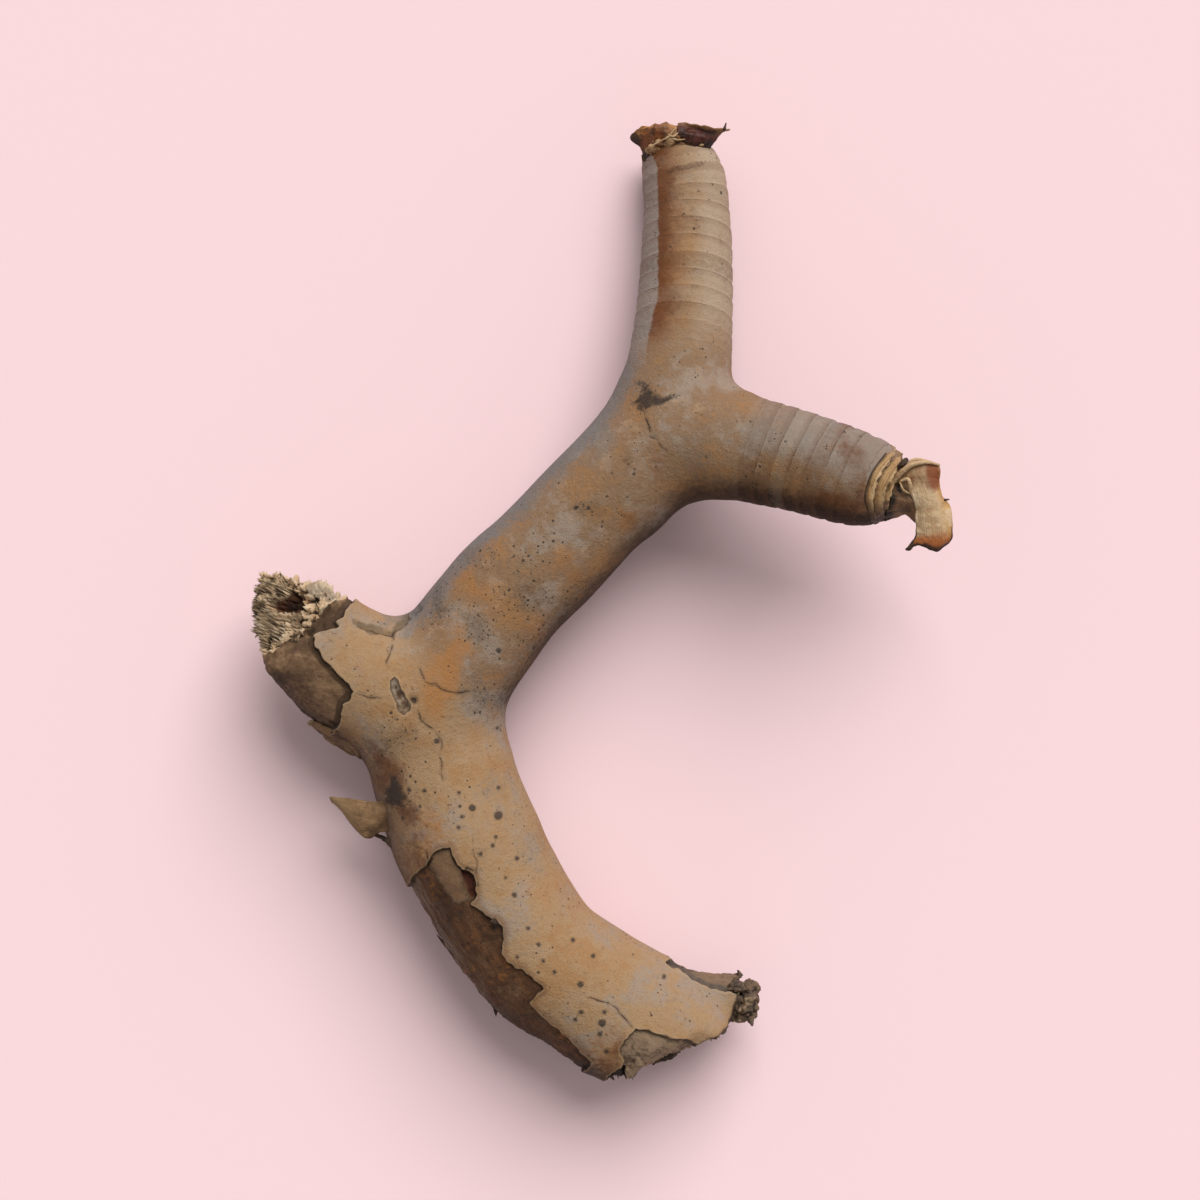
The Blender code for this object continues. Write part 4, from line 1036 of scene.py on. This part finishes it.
def bark_material():
    """Weathered bark: matt and papery, with a fine dusty grain. Where it has come away, dark fibrous wood
    shows."""
    material, tree, shader = new_material("weathered_bark", 0.85)
    spot = add(tree, "ShaderNodeTexCoord").outputs["Object"]
    names = (*OUTLINES, "crack", "crack_width", "upper_turn", "side_turn", "upper_share", "side_share",
             "speck", "ochre", "rust", "grey", "speckled", "soot", "limb", "broken", "end_broken", "crumbs",
             "low", "left_side_sheen_and_shade", "upper_left_sky_reflection", "sky_reflection_strip")
    sources = {n: add(tree, "ShaderNodeAttribute", attribute_name=n).outputs["Fac"] for n in names}
    for label, size, detail in (("broad", 34, 4), ("middle", 10, 6), ("fine", 2.8, 6), ("grain", 0.9, 3)):
        sources[label] = add(tree, "ShaderNodeTexNoise", {"Vector": spot, "Scale": 1000 / size,
                             "Detail": detail, "Roughness": 0.65})
    for label, angle in (("trunk_grain", -1.05), ("stub_grain", 2.6)):
        turned = add(tree, "ShaderNodeMapping", {"Vector": spot, "Rotation": (0, 0, angle),
                     "Scale": (7, 1, 1)}, vector_type="TEXTURE")
        sources[label] = add(tree, "ShaderNodeTexNoise", {"Vector": turned, "Scale": 1000 / 2.5,
                             "Detail": 5, "Roughness": 0.65})
    across = add(tree, "ShaderNodeMath", {0: sources["crack"]}, operation="ABSOLUTE")
    sources["beside_crack"] = add(tree, "ShaderNodeMath", {0: across, 1: sources["crack_width"]},
                                  operation="SUBTRACT")
    colour = coated(tree, rgb("a58766"), BARK_COATS, sources)

    for limb in ("upper", "side"):
        faded = add(tree, "ShaderNodeMath", {0: sources["middle"], 1: 0.3, 2: sources[limb + "_turn"]},
                    operation="MULTIPLY_ADD")
        band = add(tree, "ShaderNodeMath", {0: faded}, operation="FLOOR")
        sources["place"] = add(tree, "ShaderNodeMath", {0: faded}, operation="FRACT")
        sources["inner"] = add(tree, "ShaderNodeMath", {0: faded, 1: 0.5}, operation="PINGPONG")
        tones = add(tree, "ShaderNodeTexWhiteNoise", {"W": band}, noise_dimensions="1D")
        sources["tone"] = tones.outputs["Value"]
        share = (limb + "_share", 0.0, 1.0)
        colour = coated(tree, colour, [(*coat, share) for coat in RING_COATS], sources)

    for size, seed, reach, chance in ((1.3, 0.0, 0.42, 0.62), (2.4, 3.0, 0.34, 0.5), (5.5, 7.0, 0.2, 0.4)):
        shifted = add(tree, "ShaderNodeMapping", {"Vector": spot, "Location": (seed, seed, seed)})
        cells = add(tree, "ShaderNodeTexVoronoi", {"Vector": shifted, "Scale": 1000 / size})
        lots = add(tree, "ShaderNodeSeparateColor", {"Color": cells.outputs["Color"]})
        thick = add(tree, "ShaderNodeMath", {0: sources["middle"], 1: 1.8, 2: sources["speckled"]},
                    operation="MULTIPLY_ADD")
        least = add(tree, "ShaderNodeMath", {0: thick, 1: -chance, 2: 0.96 + 0.9 * chance},
                    operation="MULTIPLY_ADD")
        sources["here"] = add(tree, "ShaderNodeMath", {0: lots.outputs[0], 1: least}, operation="SUBTRACT")
        radius = add(tree, "ShaderNodeMath", {0: lots.outputs[1], 1: reach}, operation="MULTIPLY")
        sources["inside"] = add(tree, "ShaderNodeMath", {0: radius, 1: cells.outputs["Distance"]},
                                operation="SUBTRACT")
        dots = ("2e2620", 0.85, ("inside", -0.08, 0.06), ("here", 0.0, 0.02))
        colour = coated(tree, colour, [dots], sources)
    colour = coated(tree, colour, LINE_COATS, sources)

    for name, plain, coats, shadow in WOODS:
        sources["wood"] = coated(tree, rgb(plain), coats, sources)
        colour = coated(tree, colour, [
            ("b39c7c", 0.4, (name, -1.3, -0.3, ("fine", 0.6)), (name, 0.0, -0.2)),
            ("wood", 1.0, (name, -0.1, 0.15)),
            ("1f140c", shadow, (name, -0.4, 0.1), (name, 1.6, 0.3, ("fine", 1.2))),
        ], sources)
    sources["fibre"] = coated(tree, rgb("c8ad8c"), FIBRE_COATS, sources)
    colour = coated(tree, colour, [
        ("fibre", 1.0, ("broken", 0.3, 0.6, ("fine", 0.4))),
        ("33251a", 0.85, ("end_broken", 0.06, 0.3, ("fine", 0.35))),
        # The stub's hollow: its own brown wood, darkened further by painted shade.
        ("4b3726", 0.9, ("stub_hollow", 0.2, 2.5, ("fine", 2.0))),
        ("5a3018", 0.95, ("pith_hole", -0.2, 0.5, ("grain", 0.5))),
        # Painted shade, darker deep in the pith hole.
        ("2c150a", 0.8, ("pith_hole", 1.0, 2.8, ("fine", 2.0))),
    ], sources)
    tree.links.new(colour.outputs[2], shader.inputs["Base Color"])

    rough = add(tree, "ShaderNodeMath", {0: sources["grain"], 1: 0.5, 2: sources["fine"]},
                operation="MULTIPLY_ADD")
    bump = add(tree, "ShaderNodeBump", {"Height": rough, "Distance": 0.8 * MM, "Strength": 1.0})
    tree.links.new(bump.outputs["Normal"], shader.inputs["Normal"])
    return material


def leaf_material(name, plain, coats, roughness, glow=0.0, streaks=(26.0, 1.0)):
    """Dried leaf, loose bark or fibre: thin, stiff and fibrous, matt to slightly waxy, with veins whose
    numbers across and along it are given."""
    material, tree, shader = new_material(name, roughness)
    spot = add(tree, "ShaderNodeTexCoord").outputs["Object"]
    along = add(tree, "ShaderNodeAttribute", attribute_name="outward").outputs["Fac"]
    across = add(tree, "ShaderNodeAttribute", attribute_name="across").outputs["Fac"]
    wide = add(tree, "ShaderNodeMath", {0: across, 1: streaks[0]}, operation="MULTIPLY")
    long = add(tree, "ShaderNodeMath", {0: along, 1: streaks[1]}, operation="MULTIPLY")
    vein_place = add(tree, "ShaderNodeCombineXYZ", {"X": wide, "Y": long})
    sources = {
        "along": along,
        "across": across,
        "veins": add(tree, "ShaderNodeTexNoise", {"Vector": vein_place, "Scale": 1.0, "Detail": 5}),
        "blotch": add(tree, "ShaderNodeTexNoise", {"Vector": spot, "Scale": 1000 / 7, "Detail": 5}),
        "fine": add(tree, "ShaderNodeTexNoise", {"Vector": spot, "Scale": 1000 / 1.5, "Detail": 4}),
    }
    for label in ("rim", "stain", "crease"):
        sources[label] = add(tree, "ShaderNodeAttribute", attribute_name=label).outputs["Fac"]
    colour = coated(tree, rgb(plain), coats, sources)
    tree.links.new(colour.outputs[2], shader.inputs["Base Color"])
    height = add(tree, "ShaderNodeMath", {0: sources["veins"], 1: 1.0, 2: sources["fine"]},
                 operation="MULTIPLY_ADD")
    bump = add(tree, "ShaderNodeBump", {"Height": height, "Distance": 0.5 * MM, "Strength": 1.0})
    tree.links.new(bump.outputs["Normal"], shader.inputs["Normal"])
    shader.inputs["Subsurface Weight"].default_value = glow
    shader.inputs["Subsurface Radius"].default_value = (0.003, 0.0015, 0.0008)
    return material


# The pieces


def finish_piece(thing, material, slot, *nodes):
    """Gives a piece its material, its body and the CAD nodes it stands for."""
    thing.data.materials.append(material)
    thing.data.shade_smooth()
    places = points_of(thing.data) - (*OUTLINE_MIDDLE, 0)
    place_points(thing.data, places)
    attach(thing, "root")
    if nodes:
        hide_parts(*nodes)


# What the splinters on a break lean by, outwards and at random, and how deep their feet stand.
SPLINTER_LEAN = (0.3, 0.6)
SPLINTER_FOOT = 0.8
# No splinter reaches past this corner.
SPLINTER_CORNER = (-172.8, -240.6, 1)

# Pale torn wood: straw-coloured and dry, greyed in places, with painted shade at its foot.
pale_wood = leaf_material("dry_wood_splinters", "b39d7c", [
    ("d6c4a3", 0.6, ("fine", 0.5, 0.7)), ("66584a", 0.7, ("blotch", 0.45, 0.65)),
    ("2b1d14", 0.95, ("along", 0.4, 0.0)),
], 0.85)
# Dark splinters of bark: almost black, with a dusty brown bloom.
dark_bark = leaf_material("dark_bark_splinters", "4a3929", [
    ("6d5a45", 0.6, ("fine", 0.5, 0.7)), ("241811", 0.8, ("blotch", 0.45, 0.6)),
], 0.85)
# Crumpled fibres: painted highlights on their ridges over painted shade, nearly black, in their folds.
crumpled = leaf_material("crumpled_dry_fibres", "6a5745", [
    ("a08b70", 0.75, ("along", 0.36, 0.6, ("fine", 0.3))), ("20160f", 0.95, ("along", 0.27, 0.1)),
    ("4a3e37", 0.7, ("blotch", 0.46, 0.62)),
], 0.85)
# Torn bark: brown and dull, with a paler torn rim.
torn_bark = leaf_material("torn_bark", "7d6246", [
    ("b0987a", 0.85, ("along", 0.7, 0.98, ("fine", 0.3))), ("4a3524", 0.8, ("blotch", 0.42, 0.62)),
], 0.85)
# The inner face of curled bark: smoother and a little glossier, blotched brown, with a painted highlight
# at its point and painted shade at its root.
inner_bark = leaf_material("curled_bark_inner_face", "876a4a", [
    ("57402a", 0.85, ("blotch", 0.42, 0.64)), ("a58a64", 0.6, ("along", 0.66, 0.98, ("blotch", 0.4))),
    ("5a4027", 0.85, ("along", 0.5, 0.1, ("fine", 0.3))), ("3c2a1a", 0.5, ("fine", 0.6, 0.8)),
], 0.75)
# An amber leaf base: waxy and faintly glowing, darker blotches and a nearly black outer corner, with
# painted highlights on its raised creases and painted shade in their hollows.
amber = leaf_material("amber_dried_leaf_base", "80491a", [
    ("b98540", 0.75, ("along", 0.45, 1.0, ("veins", 0.5))),
    ("5a2c10", 0.8, ("blotch", 0.45, 0.65, ("veins", 0.4))),
    # Painted highlights on raised creases, painted shade in their hollows.
    ("c79c63", 0.6, ("crease", 0.5, 1.1)), ("2a140a", 0.7, ("crease", -0.05, -0.4)),
    ("2b150b", 0.9, ("stain", 0.4, 1.0, ("fine", 0.3))),
    ("a9835a", 0.6, ("across", 0.7, 1.0, ("blotch", 0.6))),
], 0.5, 0.12)
# A dark leaf base: deep red-brown and waxy, with a tan rim.
dark = leaf_material("dark_dried_leaf_base", "4c1e13", [
    ("2a120b", 0.8, ("blotch", 0.42, 0.62)), ("8a6440", 0.8, ("along", 0.72, 1.0, ("veins", 0.4))),
    ("6b2c1c", 0.6, ("veins", 0.5, 0.7)), ("140a06", 0.9, ("stain", 0.4, 1.1, ("fine", 0.3))),
    ("9a7850", 0.7, ("across", 0.7, 0.95, ("fine", 0.2)), ("along", 0.4, 0.8)),
], 0.5, 0.08)
# A cream leaf: papery, with brown veins, a burnt-orange end and a scorched rim, with painted highlights on
# its raised creases and painted shade in their hollows.
cream = leaf_material("cream_dried_leaf", "cbb08c", [
    ("b08c5c", 0.5, ("veins", 0.5, 0.7)), ("c08f45", 0.8, ("across", 0.66, 1.0, ("fine", 0.2))),
    # Painted highlights on raised creases, painted shade in their hollows.
    ("dcc9ab", 0.6, ("crease", 0.15, 0.5)), ("9a6a40", 0.4, ("crease", 0.0, -0.3)),
    ("9a7450", 0.7, ("along", 0.35, 0.05, ("veins", 0.3))),
    ("a65c26", 0.95, ("along", 0.8, 0.92, ("veins", 0.12))),
    ("7a3a12", 0.9, ("stain", 0.2, 1.2, ("fine", 0.5), ("veins", 0.8))),
    ("1e110a", 0.95, ("rim", 0.07, 0.02, ("fine", 0.05)), ("along", 0.72, 0.86)),
], 0.55, 0.1)
# The leaf inside it: brown and dull, with painted shade at its root and in dark spots, where it lies back
# behind the cream leaf.
inner = leaf_material("brown_inner_leaf", "7a5b40", [
    # Painted shade at the root and in dark spots.
    ("4b321f", 0.8, ("blotch", 0.45, 0.62)), ("2c1b11", 0.9, ("along", 0.4, 0.05, ("fine", 0.2))),
    ("180d08", 0.95, ("stain", 0.3, 0.9)), ("a68763", 0.5, ("veins", 0.55, 0.72)),
], 0.6, 0.05)
# Leaf sheaths: tan and fibrous, streaked round the twig, with painted shade where they come out from one
# another and along their lower side.
sheath = leaf_material("tan_leaf_sheath", "a88658", [
    ("cdb28a", 0.8, ("along", 0.4, 0.95, ("veins", 0.7))), ("7a5634", 0.75, ("veins", 0.47, 0.6)),
    ("5a3c22", 0.75, ("blotch", 0.5, 0.62, ("veins", 0.3))),
    # Painted shade where the scales come out from one another and along their lower side.
    ("33200f", 0.95, ("along", 0.42, 0.1, ("fine", 0.2))),
    ("3a2415", 0.9, ("across", 0.6, 0.85, ("veins", 0.2))),
], 0.6, 0.05, (2.5, 9.0))
# Rolled leaf rims: pale, dry and slightly mottled.
pale_rim = leaf_material("pale_dried_leaf_rim", "bfa27c", [
    ("94704a", 0.7, ("blotch", 0.45, 0.62)), ("dcc6a4", 0.5, ("fine", 0.5, 0.65)),
], 0.6, 0.05)
# Dark bits of leaf: brown and dull.
dark_bits = leaf_material("dark_dried_leaf_bits", "3b2a1c", [("6b5337", 0.6, ("fine", 0.5, 0.65))], 0.7)
# Fibres under the leaf bases: painted tan highlights on their ridges over painted shade in their folds.
tip_fibres = leaf_material("crumpled_tip_fibres", "a3805c", [
    ("6b4628", 0.8, ("blotch", 0.42, 0.58)), ("3a2416", 0.9, ("along", 0.24, 0.1)),
    ("c3a27c", 0.6, ("along", 0.3, 0.5)),
], 0.7)

paths = [smooth_path(places) for places, _, _ in LIMBS]
branch, surface, way, marks = make_branch(paths)
finish_piece(branch, bark_material(), "bark", "branch")

x, y, z = surface.T
for name, where, (count, lengths, widths), seed in (
    ("stub_splinters", (marks["broken"] > 0.5) & (x < STUB_RIGHT_SIDE) & (z > 25), STUB_SPLINTERS, 81),
    ("lower_end_splinters", (marks["end_broken"] > 0.4) & (y < -195) & (z > 15), END_SPLINTERS, 82),
):
    random = np.random.default_rng(seed)
    chosen = random.choice(np.flatnonzero(where), count, replace=False)
    outward, sideways = SPLINTER_LEAN
    lean = outward * way[chosen] + sideways * random.normal(size=(count, 3)) * (1, 1, 0.6)
    lean /= np.linalg.norm(lean, axis=1, keepdims=True)
    feet = surface[chosen] - SPLINTER_FOOT * way[chosen]
    tips = np.maximum(feet + lean * random.uniform(*lengths, (count, 1)), SPLINTER_CORNER)
    finish_piece(splinters(name, feet, tips, random.uniform(*widths, count), seed), pale_wood, "bark")
feet, tips = np.array(EDGE_SPLINTERS, float).swapaxes(0, 1)
widths = np.linspace(*EDGE_SPLINTER_WIDTHS, len(feet))
finish_piece(splinters("edge_splinters", feet, tips, widths, 83), dark_bark, "bark")
finish_piece(fibre_lumps("crumpled_fibres", FIBRE_LUMPS), crumpled, "bark")

# Each sheet's rows, places from row to row, thickness, creases, seed, how ragged its rim is, stains and
# spots of painted shade, look, slot and CAD node.
for name, rows, steps, thickness, creases, seed, edge, stains, look, slot, *nodes in (
    ("bark_tongue", BARK_TONGUE, 10, 1.2, [(0.8, 5), (0.4, 2.2)], 66, 2.6, (), torn_bark, "bark"),
    ("curled_bark", CURLED_BARK, 8, 1.3, [(0.9, 7), (0.4, 2.5)], 61, 1.0, (), inner_bark, "bark"),
    ("dark_sliver", DARK_SLIVER, 8, 1.2, [(0.6, 4), (0.3, 2)], 68, 0, (), dark_bark, "bark"),
    ("dark_end_flake", END_FLAKE, 8, 1.2, [(0.6, 4), (0.3, 2)], 69, 1.2, (), dark_bark, "bark"),
    ("top_amber_leaf", TOP_AMBER_LEAF_BASE, 11, 0.8, [(0.9, 5), (0.5, 2.2)], 71, 1.2, TOP_AMBER_STAINS,
     amber, "amber_leaf", "top_leaf_base_amber"),
    ("top_dark_leaf", TOP_DARK_LEAF_BASE, 11, 0.8, [(0.8, 5), (0.4, 2.2)], 72, 0.8, TOP_DARK_STAINS,
     dark, "dark_leaf", "top_leaf_base_dark"),
    ("side_cream_leaf", SIDE_DRY_LEAF, 8, 0.8, [(0.6, 8), (0.3, 2.4)], 73, 0.6, SIDE_DRY_STAINS,
     cream, "cream_leaf", "side_dry_leaf"),
    ("side_inner_leaf", SIDE_INNER_LEAF, 8, 0.8, [(0.6, 5), (0.3, 2)], 75, 0, SIDE_INNER_SHADE_SPOTS,
     inner, "cream_leaf"),
):
    finish_piece(sheet(name, rows, steps, thickness, creases, seed, edge, stains), look, slot, *nodes)

low, high = np.array(SIDE_LEAF_SHEATH, float)
for number, (start, end, off) in enumerate(SHEATH_SCALES):
    lifts = ((start, 0.2), ((start + end) / 2, 0.45 * off), (end, off))
    rows = [settled(low + (high - low) * share, paths, stand_off) for share, stand_off in lifts]
    name = f"side_leaf_sheath_{number + 1}"
    scale = sheet(name, rows, 8, 0.8, [(0.6, 5), (0.4, 2)], 76 + number, 1.4 + 0.5 * number)
    finish_piece(scale, sheath, "leaf_sheath", *["side_leaf_sheath"][: number == 0])
finish_piece(threads("pale_leaf_threads", PALE_THREADS), pale_rim, "cream_leaf")
finish_piece(threads("dark_leaf_threads", DARK_THREADS), dark_bits, "dark_leaf")
finish_piece(fibre_lumps("tip_fibres", TIP_FIBRES), tip_fibres, "leaf_sheath")


# The floor, the light and the camera

bpy.ops.mesh.primitive_plane_add(size=6)
floor = bpy.context.object
floor.name = "floor"
# A matt floor of one pale pink, so that only the branch's soft shadow shows on it.
floor_look, _, floor_shader = new_material("pale_matt_floor", 0.9)
floor_shader.inputs["Base Color"].default_value = rgb("fde0e8")
floor.data.materials.append(floor_look)

# A broad soft light from the upper right, behind the camera, and dim light from all round.
key = bpy.data.lights.new("key", "SUN")
key.energy = 2.9
key.angle = 0.8
key.color = rgb("fffaf5")[:3]
key_light = bpy.data.objects.new("key", key)
key_light.location = (0.7, 1.9, 2.0)
key_light.rotation_euler = (-key_light.location).to_track_quat("-Z", "Y").to_euler()
bpy.context.scene.collection.objects.link(key_light)

world = bpy.data.worlds.new("soft surroundings")
world.use_nodes = True
world.node_tree.nodes["Background"].inputs["Color"].default_value = rgb("f6f1ea")
world.node_tree.nodes["Background"].inputs["Strength"].default_value = 0.36
bpy.context.scene.world = world
bpy.context.scene.view_settings.view_transform = "Standard"

# The camera looks straight down on the middle of the picture.
lens = bpy.data.cameras.new("camera")
lens.lens = 85
lens.sensor_width = 36
camera = bpy.data.objects.new("camera", lens)
camera.location = (0.0012, -0.0002, 1.4587)
bpy.context.scene.collection.objects.link(camera)
bpy.context.scene.camera = camera
